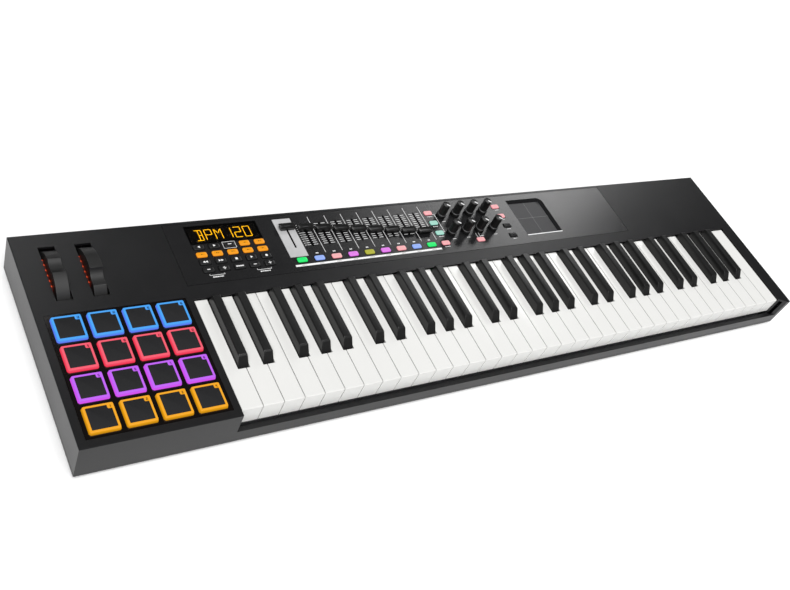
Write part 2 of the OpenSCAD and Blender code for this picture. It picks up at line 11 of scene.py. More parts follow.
import bmesh
import bpy
import numpy as np
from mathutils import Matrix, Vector

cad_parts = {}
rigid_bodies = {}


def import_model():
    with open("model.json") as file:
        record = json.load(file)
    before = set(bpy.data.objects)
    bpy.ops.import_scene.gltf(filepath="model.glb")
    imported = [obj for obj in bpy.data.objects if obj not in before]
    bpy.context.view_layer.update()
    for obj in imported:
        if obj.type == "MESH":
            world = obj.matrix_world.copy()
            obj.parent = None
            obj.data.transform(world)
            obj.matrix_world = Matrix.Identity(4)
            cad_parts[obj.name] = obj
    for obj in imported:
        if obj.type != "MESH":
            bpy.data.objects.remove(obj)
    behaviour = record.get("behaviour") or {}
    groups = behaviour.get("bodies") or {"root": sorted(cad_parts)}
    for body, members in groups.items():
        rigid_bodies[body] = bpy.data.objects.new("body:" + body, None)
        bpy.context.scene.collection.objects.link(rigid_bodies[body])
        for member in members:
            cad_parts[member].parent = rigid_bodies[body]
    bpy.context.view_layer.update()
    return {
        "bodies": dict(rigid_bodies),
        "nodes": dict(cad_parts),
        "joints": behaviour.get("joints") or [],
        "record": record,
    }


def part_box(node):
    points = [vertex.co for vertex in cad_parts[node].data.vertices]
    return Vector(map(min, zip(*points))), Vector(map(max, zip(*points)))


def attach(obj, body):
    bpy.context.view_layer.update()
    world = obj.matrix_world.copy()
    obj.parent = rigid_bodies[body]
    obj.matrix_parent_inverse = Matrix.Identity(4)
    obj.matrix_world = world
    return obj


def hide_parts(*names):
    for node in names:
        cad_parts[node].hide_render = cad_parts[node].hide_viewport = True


LOG = logging.getLogger("synthesizer")
MM = 0.001
CASE = "case"
Colour = tuple[float, float, float]
BLACK: Colour = (0.0, 0.0, 0.0)
UPRIGHT = math.pi / 2


def linked(name: str, data: bpy.types.ID) -> bpy.types.Object:
    """A new object in the scene that holds this mesh, light or camera."""
    made = bpy.data.objects.new(name, data)
    bpy.context.scene.collection.objects.link(made)
    return made


# ---- surfaces ------------------------------------------------------------------------------


@dataclass
class Surface:
    """A mesh held as arrays: points, and faces as one run of corner numbers with their sizes."""

    points: np.ndarray
    corners: np.ndarray
    sizes: np.ndarray

    @staticmethod
    def joined(parts: list["Surface"]) -> "Surface":
        """One surface from several.

        Args:
            parts: the surfaces, in order.

        Returns:
            All of them, with the corner numbers moved on.
        """
        starts = np.cumsum([0] + [len(p.points) for p in parts[:-1]])
        return Surface(
            np.concatenate([p.points for p in parts]),
            np.concatenate([p.corners + s for p, s in zip(parts, starts)]),
            np.concatenate([p.sizes for p in parts]),
        )

    def stamped(self, places: np.ndarray) -> "Surface":
        """Copies of this surface moved to each place.

        Args:
            places: offsets, one row of x, y, z for each copy.

        Returns:
            All copies as one surface: point = place + own point.
        """
        places = np.asarray(places, float).reshape(-1, 3)
        count = len(places)
        points = (places[:, None, :] + self.points[None, :, :]).reshape(-1, 3)
        shift = np.arange(count)[:, None] * len(self.points)
        return Surface(points, (self.corners[None, :] + shift).ravel(), np.tile(self.sizes, count))

    def turned(self, angle: float) -> "Surface":
        """This surface turned by an angle in radians about Z through the origin."""
        c, s = math.cos(angle), math.sin(angle)
        turn = np.array([[c, s, 0.0], [-s, c, 0.0], [0.0, 0.0, 1.0]])
        return Surface(self.points @ turn, self.corners, self.sizes)

    def to_object(self, name: str, material: bpy.types.Material, sharp: float = 35.0) -> bpy.types.Object:
        """A Blender object with this mesh.

        Args:
            name: the object's name.
            material: its only material.
            sharp: edges steeper than this many degrees stay sharp.

        Returns:
            The linked object, at the origin.
        """
        mesh = bpy.data.meshes.new(name)
        mesh.vertices.add(len(self.points))
        mesh.vertices.foreach_set("co", np.ascontiguousarray(self.points, np.float32).ravel())
        mesh.loops.add(len(self.corners))
        mesh.loops.foreach_set("vertex_index", self.corners.astype(np.int32))
        mesh.polygons.add(len(self.sizes))
        starts = np.concatenate([[0], np.cumsum(self.sizes)[:-1]]).astype(np.int32)
        mesh.polygons.foreach_set("loop_start", starts)
        mesh.polygons.foreach_set("use_smooth", np.ones(len(self.sizes), bool))
        mesh.update(calc_edges=True)
        mesh.validate()
        mesh.set_sharp_from_angle(angle=math.radians(sharp))
        mesh.materials.append(material)
        return linked(name, mesh)

    def placed(self, name: str, material: bpy.types.Material, body: str, slot: str,
               sharp: float = 35.0) -> bpy.types.Object:
        """An object with this mesh that rides on a body."""
        return place(self.to_object(name, material, sharp), body)


def box_middle(node: str) -> np.ndarray:
    """The middle of a CAD node's box in x and y, with z = 0."""
    low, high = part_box(node)
    return np.array([(low.x + high.x) / 2, (low.y + high.y) / 2, 0.0])


def rings_surface(rings: np.ndarray, cap_low: bool = True, cap_high: bool = True) -> Surface:
    """A skin over closed rings: quad (i, j) joins ring i and i + 1 between points j and j + 1.

    Args:
        rings: levels by points by 3, each ring counter-clockwise seen from its outer side.
        cap_low: whether the first ring is closed with one face.
        cap_high: whether the last ring is closed with one face.

    Returns:
        The closed surface.
    """
    levels, around, _ = rings.shape
    number = np.arange(levels * around).reshape(levels, around)
    nxt = np.roll(number, -1, axis=1)
    quads = np.stack([number[:-1], nxt[:-1], nxt[1:], number[1:]], axis=-1).reshape(-1)
    sizes = [np.full((levels - 1) * around, 4)]
    corners = [quads]
    if cap_low:
        corners.append(number[0, ::-1])
        sizes.append(np.array([around]))
    if cap_high:
        corners.append(number[-1])
        sizes.append(np.array([around]))
    return Surface(rings.reshape(-1, 3), np.concatenate(corners), np.concatenate(sizes))


def rounded_outline(corner_points: np.ndarray, radius: float | np.ndarray, steps: int = 5) -> np.ndarray:
    """A closed outline with each corner rounded by the curve (1-s)^2 A + 2 s (1-s) P + s^2 B,
    where P is the corner and A and B lie one radius along its two sides.

    Args:
        corner_points: the outline's corners, counter-clockwise.
        radius: how far along each side the rounding starts, one value or one for each corner.
        steps: points for each corner.

    Returns:
        The outline's points, one row of x and y each.
    """
    p = np.asarray(corner_points, float)
    r = np.broadcast_to(np.asarray(radius, float), (len(p),))[:, None]
    back = np.roll(p, 1, axis=0) - p
    ahead = np.roll(p, -1, axis=0) - p
    a = p + back / np.linalg.norm(back, axis=1, keepdims=True) * r
    b = p + ahead / np.linalg.norm(ahead, axis=1, keepdims=True) * r
    s = np.linspace(0, 1, steps)[None, :, None]
    curve = (1 - s) ** 2 * a[:, None] + 2 * s * (1 - s) * p[:, None] + s**2 * b[:, None]
    return curve.reshape(-1, 2)


def rectangle(half_x: float, half_y: float, radius: float, steps: int = 5) -> np.ndarray:
    """The outline of a rectangle about the origin with rounded corners."""
    corners = np.array([[-1, -1], [1, -1], [1, 1], [-1, 1]], float) * (half_x, half_y)
    return rounded_outline(corners, radius, steps)


def inset(outline: np.ndarray, by: np.ndarray) -> np.ndarray:
    """Copies of an outline moved inwards along its normals, which are the tangents turned by 90 degrees.

    Args:
        outline: points by 2, counter-clockwise.
        by: one distance for each copy.

    Returns:
        Copies by points by 2.
    """
    tangent = np.roll(outline, -1, axis=0) - np.roll(outline, 1, axis=0)
    tangent /= np.maximum(np.linalg.norm(tangent, axis=1, keepdims=True), 1e-12)
    inward = np.stack([-tangent[:, 1], tangent[:, 0]], axis=1)
    return outline[None] + np.asarray(by, float)[:, None, None] * inward[None]


def raised(outline: np.ndarray, profile: list[tuple[float, float]], cap_low: bool = True) -> Surface:
    """A solid whose outline shrinks as it rises: ring k is the outline inset by profile[k][0], at the
    height profile[k][1].

    Args:
        outline: points by 2, counter-clockwise.
        profile: pairs of inset and height, from below upwards and then inwards.
        cap_low: whether the bottom is closed.

    Returns:
        The solid's surface.
    """
    levels = np.asarray(profile, float)
    flat = inset(outline, levels[:, 0])
    heights = np.broadcast_to(levels[:, 1][:, None, None], flat.shape[:2] + (1,))
    return rings_surface(np.concatenate([flat, heights], axis=2), cap_low)


def soft_edge(z_low: float, z_high: float, radius: float, steps: int = 4,
              draft: float = 0.0) -> list[tuple[float, float]]:
    """The profile of an upright wall with a quarter round at the top: inset = r (1 - cos t) and
    height = top - r (1 - sin t).

    Args:
        z_low: height of the foot.
        z_high: height of the top.
        radius: radius of the quarter round.
        steps: points along the round.
        draft: how far the wall leans in from foot to round.

    Returns:
        Pairs of inset and height.
    """
    t = np.linspace(0, math.pi / 2, steps)
    bend = np.stack([draft + radius * (1 - np.cos(t)), z_high - radius * (1 - np.sin(t))], axis=1)
    return [(0.0, z_low)] + [tuple(row) for row in bend]


def turned_profile(radii: np.ndarray, heights: np.ndarray, around: int = 48, flutes: int = 0,
                   depth: np.ndarray | float = 0.0) -> Surface:
    """A shape turned about Z: r(t, a) = radius(t) - depth(t) (0.5 + 0.5 cos(flutes a))^3, z = height(t).

    Args:
        radii: radius at each level.
        heights: height at each level.
        around: points round the axis.
        flutes: how many grooves run round it.
        depth: depth of the grooves, one value or one for each level.

    Returns:
        The closed surface.
    """
    angle = np.linspace(0, 2 * math.pi, around, endpoint=False)
    groove = (0.5 + 0.5 * np.cos(flutes * angle)) ** 3 if flutes else np.zeros(around)
    depth = np.broadcast_to(np.asarray(depth, float), np.shape(radii))
    r = np.asarray(radii)[:, None] - depth[:, None] * groove[None, :]
    z = np.broadcast_to(np.asarray(heights)[:, None], r.shape)
    rings = np.stack([r * np.cos(angle), r * np.sin(angle), z], axis=-1)
    return rings_surface(rings)


def bars(rows: np.ndarray, z_low: float, z_high: float) -> Surface:
    """Thin upright blocks: each corner is centre + turn(angle) (+-length/2, +-width/2).

    Args:
        rows: one row for each bar: centre x, centre y, length, width, angle in radians.
        z_low: height of their undersides.
        z_high: height of their tops.

    Returns:
        All bars as one surface.
    """
    rows = np.asarray(rows, float).reshape(-1, 5)
    unit = np.array([[-0.5, -0.5], [0.5, -0.5], [0.5, 0.5], [-0.5, 0.5]])
    local = unit[None] * rows[:, None, 2:4]
    c, s = np.cos(rows[:, 4])[:, None], np.sin(rows[:, 4])[:, None]
    x = rows[:, 0:1] + c * local[..., 0] - s * local[..., 1]
    y = rows[:, 1:2] + s * local[..., 0] + c * local[..., 1]
    low = np.stack([x, y, np.full_like(x, z_low)], axis=-1)
    high = np.stack([x, y, np.full_like(x, z_high)], axis=-1)
    points = np.concatenate([low, high], axis=1).reshape(-1, 3)
    block = np.array([[3, 2, 1, 0], [4, 5, 6, 7], [0, 1, 5, 4], [1, 2, 6, 5], [2, 3, 7, 6], [3, 0, 4, 7]])
    faces = block[None] + (np.arange(len(rows)) * 8)[:, None, None]
    return Surface(points, faces.ravel(), np.full(len(rows) * 6, 4))


# ---- finishes ------------------------------------------------------------------------------


class Groups:
    """Shader node groups that several finishes use."""

    made: dict[str, bpy.types.NodeTree] = {}

    @classmethod
    def grain(cls) -> bpy.types.NodeTree:
        """Moulded grain: fine noise for the height, broad noise for gloss and colour.

        Returns:
            The group, with inputs Scale, Smudge and Gloss and outputs Tone, Roughness and Height.
        """
        if "grain" in cls.made:
            return cls.made["grain"]
        tree = bpy.data.node_groups.new("moulded_grain", "ShaderNodeTree")
        for name, value in (("Scale", 2500.0), ("Smudge", 0.1), ("Gloss", 0.4)):
            socket = tree.interface.new_socket(name, in_out="INPUT", socket_type="NodeSocketFloat")
            socket.default_value = value
        for name in ("Tone", "Roughness", "Height"):
            tree.interface.new_socket(name, in_out="OUTPUT", socket_type="NodeSocketFloat")
        node, link = tree.nodes.new, tree.links.new
        inputs, outputs = node("NodeGroupInput"), node("NodeGroupOutput")
        where = node("ShaderNodeTexCoord")
        fine = with_values(node("ShaderNodeTexNoise"), Detail=3.0)
        broad = with_values(node("ShaderNodeTexNoise"), Scale=14.0, Detail=5.0, Roughness=0.65)
        spread, gloss = math_node(tree, "MULTIPLY_ADD"), math_node(tree, "ADD")
        half = math_node(tree, "MULTIPLY", in1=-0.5)
        tone = with_values(node("ShaderNodeMapRange"), From_Min=0.3, From_Max=0.7)
        link(where.outputs["Object"], fine.inputs["Vector"])
        link(where.outputs["Object"], broad.inputs["Vector"])
        link(inputs.outputs["Scale"], fine.inputs["Scale"])
        link(broad.outputs["Fac"], spread.inputs[0])
        link(inputs.outputs["Smudge"], spread.inputs[1])
        link(inputs.outputs["Gloss"], spread.inputs[2])
        link(inputs.outputs["Smudge"], half.inputs[0])
        link(spread.outputs[0], gloss.inputs[0])
        link(half.outputs[0], gloss.inputs[1])
        link(broad.outputs["Fac"], tone.inputs["Value"])
        link(tone.outputs[0], outputs.inputs["Tone"])
        link(gloss.outputs[0], outputs.inputs["Roughness"])
        link(fine.outputs["Fac"], outputs.inputs["Height"])
        cls.made["grain"] = tree
        return tree


def math_node(tree: bpy.types.NodeTree, operation: str, **values: float) -> bpy.types.Node:
    """A Math node with that operation and inputs set as with_values() says."""
    node = with_values(tree.nodes.new("ShaderNodeMath"), **values)
    node.operation = operation
    return node


def colour_mix(tree: bpy.types.NodeTree, low: Colour, high: Colour) -> bpy.types.Node:
    """A Mix node between two colours."""
    node = tree.nodes.new("ShaderNodeMix")
    node.data_type = "RGBA"
    return with_values(node, A=with_alpha(low), B=with_alpha(high))


def fresh_material(name: str) -> tuple[bpy.types.Material, bpy.types.NodeTree, bpy.types.ShaderNode]:
    """An empty node material.

    Args:
        name: the material's name.

    Returns:
        The material, its node tree and its Principled shader, already joined to the output.
    """
    material = bpy.data.materials.new(name)
    material.use_nodes = True
    tree = material.node_tree
    tree.nodes.clear()
    out = tree.nodes.new("ShaderNodeOutputMaterial")
    shader = tree.nodes.new("ShaderNodeBsdfPrincipled")
    tree.links.new(shader.outputs[0], out.inputs["Surface"])
    return material, tree, shader


def with_values(node: bpy.types.Node, **values: float | tuple) -> bpy.types.Node:
    """Sets a node's inputs: a key is the input's name with _ for a space, or in0, in1, ... for its number."""
    for key, value in values.items():
        socket = int(key[2:]) if key[:2] == "in" and key[2:].isdigit() else key.replace("_", " ")
        node.inputs[socket].default_value = value
    return node


def with_alpha(colour: Colour) -> tuple[float, float, float, float]:
    """The colour with full alpha."""
    return (*colour, 1.0)


@dataclass(frozen=True)
class Moulded:
    """Moulded plastic, rubber or painted metal with a fine grain and slight smudges."""

    name: str
    colour: Colour
    roughness: float = 0.4
    smudge: float = 0.12
    grain: float = 2600.0
    bump: float = 0.06
    lighter: float = 1.25
    metallic: float = 0.0
    specular: float = 0.5

    def build(self) -> bpy.types.Material:
        """The finished material."""
        material, tree, shader = fresh_material(self.name)
        node, link = tree.nodes.new, tree.links.new
        grain = node("ShaderNodeGroup")
        grain.node_tree = Groups.grain()
        with_values(grain, Scale=self.grain, Smudge=self.smudge, Gloss=self.roughness)
        mix = colour_mix(tree, self.colour, tuple(min(1.0, c * self.lighter) for c in self.colour))
        link(grain.outputs["Tone"], mix.inputs["Factor"])
        link(mix.outputs["Result"], shader.inputs["Base Color"])
        link(grain.outputs["Roughness"], shader.inputs["Roughness"])
        if self.bump:
            bump = with_values(node("ShaderNodeBump"), Strength=self.bump, Distance=0.2 * MM)
            link(grain.outputs["Height"], bump.inputs["Height"])
            link(bump.outputs["Normal"], shader.inputs["Normal"])
        with_values(shader, Metallic=self.metallic, Specular_IOR_Level=self.specular)
        return material


@dataclass(frozen=True)
class Lit:
    """Translucent silicone lit from below: deep colour at the foot, light colour at the top."""

    name: str
    deep: Colour
    light: Colour
    low: float
    high: float
    strength: float = 1.0
    roughness: float = 0.45
    blotches: float = 0.3
    darkening: float = 0.9

    def build(self) -> bpy.types.Material:
        """The finished material."""
        material, tree, shader = fresh_material(self.name)
        node, link = tree.nodes.new, tree.links.new
        where, split = node("ShaderNodeTexCoord"), node("ShaderNodeSeparateXYZ")
        rise = with_values(node("ShaderNodeMapRange"), From_Min=self.low, From_Max=self.high)
        noise = with_values(node("ShaderNodeTexNoise"), Scale=160.0, Detail=3.0)
        blotch = math_node(tree, "MULTIPLY_ADD", in1=self.blotches)
        shift = math_node(tree, "SUBTRACT", in1=self.blotches / 2)
        shift.use_clamp = True
        mix = colour_mix(tree, self.deep, self.light)
        dim = with_values(colour_mix(tree, self.deep, BLACK), Factor=self.darkening)
        link(where.outputs["Object"], split.inputs[0])
        link(where.outputs["Object"], noise.inputs["Vector"])
        link(split.outputs["Z"], rise.inputs["Value"])
        link(noise.outputs["Fac"], blotch.inputs[0])
        link(rise.outputs[0], blotch.inputs[2])
        link(blotch.outputs[0], shift.inputs[0])
        link(shift.outputs[0], mix.inputs["Factor"])
        link(mix.outputs["Result"], shader.inputs["Emission Color"])
        link(mix.outputs["Result"], dim.inputs["A"])
        link(dim.outputs["Result"], shader.inputs["Base Color"])
        with_values(shader, Emission_Strength=self.strength, Roughness=self.roughness)
        return material


@dataclass(frozen=True)
class Beads:
    """A row of small lights along Y behind a red lens: bright spots on a deep ground."""

    name: str
    deep: Colour
    light: Colour
    spacing: float
    strength: float
    sharpness: float = 5.0
    lens: Colour = (0.05, 0.002, 0.001)

    def build(self) -> bpy.types.Material:
        """The finished material."""
        material, tree, shader = fresh_material(self.name)
        node, link = tree.nodes.new, tree.links.new
        where, wave = node("ShaderNodeTexCoord"), node("ShaderNodeTexWave")
        wave.bands_direction = "Y"
        with_values(wave, Scale=math.pi / (10.0 * self.spacing), Distortion=0.4)
        narrow = math_node(tree, "POWER", in1=self.sharpness)
        mix = colour_mix(tree, self.deep, self.light)
        link(where.outputs["Object"], wave.inputs["Vector"])
        link(wave.outputs["Fac"], narrow.inputs[0])
        link(narrow.outputs[0], mix.inputs["Factor"])
        link(mix.outputs["Result"], shader.inputs["Emission Color"])
        with_values(shader, Base_Color=with_alpha(self.lens), Emission_Strength=self.strength, Roughness=0.3)
        return material


@dataclass(frozen=True)
class Window:
    """Dark tinted glass over the display."""

    name: str
    tint: Colour

    def build(self) -> bpy.types.Material:
        """The finished material."""
        material, tree, shader = fresh_material(self.name)
        node, link = tree.nodes.new, tree.links.new
        where, noise = node("ShaderNodeTexCoord"), with_values(node("ShaderNodeTexNoise"), Scale=60.0)
        gloss = with_values(node("ShaderNodeMapRange"), To_Max=0.03)
        link(where.outputs["Object"], noise.inputs["Vector"])
        link(noise.outputs["Fac"], gloss.inputs["Value"])
        link(gloss.outputs[0], shader.inputs["Roughness"])
        with_values(shader, Base_Color=with_alpha(self.tint), Transmission_Weight=1.0, IOR=1.45)
        return material


class Tint(Enum):
    """Deep and light colours of the lit silicone."""

    AMBER = ((0.60, 0.26, 0.002), (1.0, 0.43, 0.007))
    PURPLE = ((0.80, 0.09, 1.0), (0.58, 0.13, 1.0))
    RED = ((1.0, 0.03, 0.08), (1.0, 0.11, 0.17))
    BLUE = ((0.13, 0.19, 1.0), (0.06, 0.40, 1.0))
    ORANGE = ((0.85, 0.25, 0.0), (1.0, 0.37, 0.0))
    PINK = ((0.95, 0.26, 0.32), (1.0, 0.50, 0.52))
    MAGENTA = ((0.72, 0.10, 0.80), (0.85, 0.25, 0.90))
    SKY = ((0.16, 0.30, 0.90), (0.35, 0.50, 1.0))
    GREEN = ((0.0, 0.70, 0.10), (0.02, 0.95, 0.20))
    LIME = ((0.35, 0.35, 0.02), (0.50, 0.50, 0.05))
    TEAL = ((0.22, 0.62, 0.52), (0.45, 0.80, 0.68))

    @property
    def finish(self) -> str:
        """The name of its finish."""
        return "lit_" + self.name.lower()


PAD_TINTS = (Tint.AMBER, Tint.PURPLE, Tint.RED, Tint.BLUE)


@dataclass
class Finishes:
    """All materials, keyed by a plain name."""

    z_top: float
    pad_glow: float = 3.3 * MM
    button_glow: float = 1.4 * MM
    glow: float = 0.82
    made: dict[str, bpy.types.Material] = field(default_factory=dict)

    def __post_init__(self) -> None:
        """Builds every finish once."""
        plain = [
            Moulded("case_plastic", (0.0075, 0.0075, 0.008), 0.34, 0.10, 2600.0, 0.10, 1.4, specular=0.3),
            Moulded("base_plastic", (0.007, 0.007, 0.0075), 0.44, 0.10, 2200.0, 0.14, 1.4, specular=0.4),
            Moulded("panel_plastic", (0.0075, 0.0075, 0.008), 0.26, 0.07, 2600.0, 0.05, 1.4),
            Moulded("bezel_gloss", (0.0035, 0.0025, 0.0022), 0.12, 0.08, 900.0, 0.015, 1.4),
            Moulded("socket_black", (0.02, 0.02, 0.02), 0.45),
            Moulded("frame_grey", (0.10, 0.10, 0.105), 0.5),
            Moulded("touch_surface", (0.018, 0.018, 0.020), 0.46, 0.12, 3600.0, 0.12, 1.2),
            Moulded("foot_rubber", (0.02, 0.02, 0.02), 0.8, 0.1, 1400.0, 0.3),
            Moulded("wheel_plastic", (0.005, 0.005, 0.005), 0.5, 0.12, 3000.0, 0.12),
            Moulded("cap_black", (0.004, 0.004, 0.004), 0.34, 0.10, 3200.0, 0.06, specular=0.35),
            Moulded("knob_black", (0.0035, 0.0035, 0.0035), 0.40, 0.12, 3600.0, 0.12, specular=0.45),
            Moulded("knob_ring", (0.055, 0.055, 0.058), 0.40, 0.12, 3000.0, 0.08),
            Moulded("fader_metal", (0.03, 0.03, 0.032), 0.45, 0.12, 1200.0, 0.08, 1.3, 0.6),
            Moulded("pad_face", (0.006, 0.006, 0.007), 0.60, 0.10, 2400.0, 0.25, 1.3, specular=0.3),
            Moulded("pad_digits", (0.004, 0.004, 0.004), 0.55, 0.10, 2400.0, 0.05, 1.2),
            Moulded("button_black", (0.006, 0.006, 0.0065), 0.42, 0.12, 3000.0, 0.10, 1.4, specular=0.4),
            Moulded("key_black", (0.0085, 0.0085, 0.0085), 0.32, 0.10, 1800.0, 0.08, 1.4, specular=0.45),
            Moulded("key_white", (0.72, 0.718, 0.70), 0.24, 0.10, 300.0, 0.012, 1.02),
            Moulded("ink_white", (0.78, 0.78, 0.78), 0.5, 0.1, 5000.0, 0.05, 1.1),
            Moulded("ink_grey", (0.16, 0.16, 0.16), 0.5, 0.1, 5000.0, 0.05, 1.1),
            Moulded("ink_dark", (0.03, 0.008, 0.0), 0.5, 0.1, 5000.0, 0.05, 1.1),
            Moulded("display_back", (0.0012, 0.0010, 0.0008), 0.5, 0.1, 1500.0, 0.02),
            Moulded("board_green", (0.02, 0.13, 0.06), 0.35, 0.1, 900.0, 0.05),
            Moulded("steel", (0.55, 0.55, 0.57), 0.35, 0.15, 1200.0, 0.06, 1.1, 1.0),
            Moulded("screw_steel", (0.12, 0.12, 0.12), 0.35, 0.15, 1500.0, 0.06, 1.1, 1.0),
            Moulded("silver_plate", (0.47, 0.47, 0.475), 0.48, 0.14, 900.0, 0.5, 1.25, 0.3),
            # Used for the dark joint round the control panel and for the painted shade round each button.
            Moulded("seam_and_shade_dark", (0.0015, 0.0015, 0.0015), 0.6, 0.10, 1500.0, 0.05, 1.2, specular=0.1),
            # A light strip that paints the highlight on the front wall of the touch pad's recess.
            Moulded("painted_highlight_strip", (0.75, 0.75, 0.76), 0.35, 0.10, 1500.0, 0.05, 1.1, 0.4),
        ]
        glowing = [
            Lit("glyph", (1.0, 0.50, 0.002), (1.0, 0.58, 0.004), 0.0, 0.1, 3.6),
            Lit("glyph_dim", (0.03, 0.012, 0.0), (0.035, 0.013, 0.0), 0.0, 0.1, 0.2),
            Beads("light_red", (0.012, 0.0003, 0.0002), (1.0, 0.10, 0.02), 7.0 * MM, 1.0),
            Window("window", (0.42, 0.38, 0.34)),
        ]
        for tint in Tint:
            deep, light = tint.value
            top = self.z_top + (self.pad_glow if tint in PAD_TINTS else self.button_glow)
            glowing.append(Lit(tint.finish, deep, light, self.z_top, top, self.glow))
        for finish in plain + glowing:
            self.made[finish.name] = finish.build()

    def __getitem__(self, name: str) -> bpy.types.Material:
        """The finish of that name."""
        return self.made[name]


# ---- helpers for CAD nodes -----------------------------------------------------------------


def dress(frame: dict, node: str, material: bpy.types.Material) -> None:
    """Gives a CAD node its finish.

    Args:
        node: the node's name.
        material: its finish.
    """
    mesh = frame["nodes"][node].data
    mesh.materials.clear()
    mesh.materials.append(material)


def eased(frame: dict, node: str, body: str, material: bpy.types.Material, width: float,
          segments: int = 2, pierced: bool = False, smooth: bool = True) -> bpy.types.Object:
    """A copy of a CAD node with its edges eased by a small round, which stands for the node.

    Args:
        node: the CAD node.
        body: the body it rides on.
        material: its finish.
        width: width of the round.
        segments: faces across the round.
        pierced: whether flat faces have holes, so that their triangles are kept.
        smooth: whether faces that meet at a small angle shade as one.

    Returns:
        The new piece.
    """
    work = bmesh.new()
    work.from_mesh(frame["nodes"][node].data)
    bmesh.ops.remove_doubles(work, verts=work.verts, dist=1e-6)
    if not pierced:
        bmesh.ops.dissolve_limit(work, angle_limit=math.radians(1.0), verts=work.verts, edges=work.edges)
    mesh = bpy.data.meshes.new(node + "_skin")
    work.to_mesh(mesh)
    work.free()
    mesh.polygons.foreach_set("use_smooth", np.full(len(mesh.polygons), smooth))
    if smooth:
        mesh.set_sharp_from_angle(angle=math.radians(30.0))
    mesh.materials.clear()
    mesh.materials.append(material)
    piece = linked(node + "_skin", mesh)
    ease = piece.modifiers.new("ease", "BEVEL")
    ease.width = width
    ease.segments = segments
    ease.limit_method = "ANGLE"
    ease.angle_limit = math.radians(29.0)
    ease.use_clamp_overlap = True
    ease.harden_normals = smooth
    ease.miter_outer = "MITER_ARC"
    place(piece, body)
    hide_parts(node)
    return piece


def place(piece: bpy.types.Object, body: str) -> bpy.types.Object:
    """Rides a piece on its body and reports it."""
    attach(piece, body)
    LOG.info("%s rides on %s", piece.name, body)
    return piece


# ---- sub-assemblies ------------------------------------------------------------------------


@dataclass
class Layout:
    """Where things are, from the frame's own boxes and the spacings of the design."""

    pad_pitch: float = 34.95 * MM
    pad_side: float = 29.6 * MM
    fader_pitch: float = 22.65 * MM
    knob_pitch: float = 22.3 * MM
    grid_pitch_x: float = 18.2 * MM
    grid_pitch_y: float = 10.8 * MM
    column_pitch: float = 17.0 * MM
    button_half: tuple[float, float] = (6.2 * MM, 3.6 * MM)
    side_half: tuple[float, float] = (5.9 * MM, 3.4 * MM)
    fader_half: tuple[float, float] = (6.4 * MM, 3.4 * MM)
    button_rise: float = 1.5 * MM

    def __post_init__(self) -> None:
        """Reads the frame's boxes."""
        low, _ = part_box("keys_c")
        self.key_x = low.x - 0.45 * MM
        self.key_y = low.y
        self.z_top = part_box("control_panel")[1].z
        pad_middle = box_middle("pads_row_1")
        self.pad_x = pad_middle[0] - 1.5 * self.pad_pitch
        self.pad_y = pad_middle[1]
        self.fader_x = self.key_x + 142.6 * MM
        self.fader_y = self.key_y + 211 * MM
        self.grid_x = self.key_x + 29.3 * MM
        self.grid_y = self.key_y + 208 * MM
        self.fader_button_y = self.key_y + 174.5 * MM
        self.side_x = self.key_x + 345.6 * MM
        self.right_x = self.key_x + 455.6 * MM
        self.side_y = self.key_y + 174.6 * MM
        self.single = (self.key_x + 401 * MM, self.key_y + 173.6 * MM)

    def fader(self, i: float) -> float:
        """X of fader i from 0; a half lies between two faders."""
        return self.fader_x + i * self.fader_pitch

    def grid(self, row: int, column: int) -> tuple[float, float]:
        """Centre of a button beside the display."""
        return self.grid_x + column * self.grid_pitch_x, self.grid_y - row * self.grid_pitch_y


@dataclass
class CaseShell:
    """The case, its plates and what is fixed inside it."""

    frame: dict
    finishes: Finishes
    ease: float = 0.5 * MM

    def build(self) -> None:
        """Dresses the shells and everything fixed."""
        f = self.finishes
        eased(self.frame, "top_case", CASE, f["case_plastic"], self.ease, 3, True, False)
        for node, finish in (
            ("bottom_case", "base_plastic"), ("control_panel", "panel_plastic"), ("pad_bezel", "bezel_gloss"),
            ("fader_bodies", "fader_metal"), ("encoder_bodies", "fader_metal"),
            ("control_board", "board_green"),
            ("main_board", "board_green"), ("usb_socket", "steel"), ("pedal_jacks", "socket_black"),
            ("key_frame", "frame_grey"), ("key_contact_board", "board_green"), ("pad_board", "board_green"),
            ("wheel_cradle", "socket_black"), ("wheel_lights", "light_red"), ("touch_pad", "touch_surface"),
            ("feet", "foot_rubber"), ("case_screws", "screw_steel"), ("fader_plate", "silver_plate"),
            ("display_window", "window"), ("display_module", "display_back"),
        ):
            dress(self.frame, node, f[finish])


@dataclass
class Keyboard:
    """The white and black keys."""

    frame: dict
    finishes: Finishes
    white_ease: float = 0.7 * MM
    black_ease: float = 0.6 * MM

    def build(self) -> None:
        """Makes every group of keys."""
        for name in "cdefgab":
            node = "keys_" + name
            eased(self.frame, node, node, self.finishes["key_white"], self.white_ease, 3)
        for name in "cdfga":
            node = f"keys_{name}_sharp"
            eased(self.frame, node, node, self.finishes["key_black"], self.black_ease, 2)


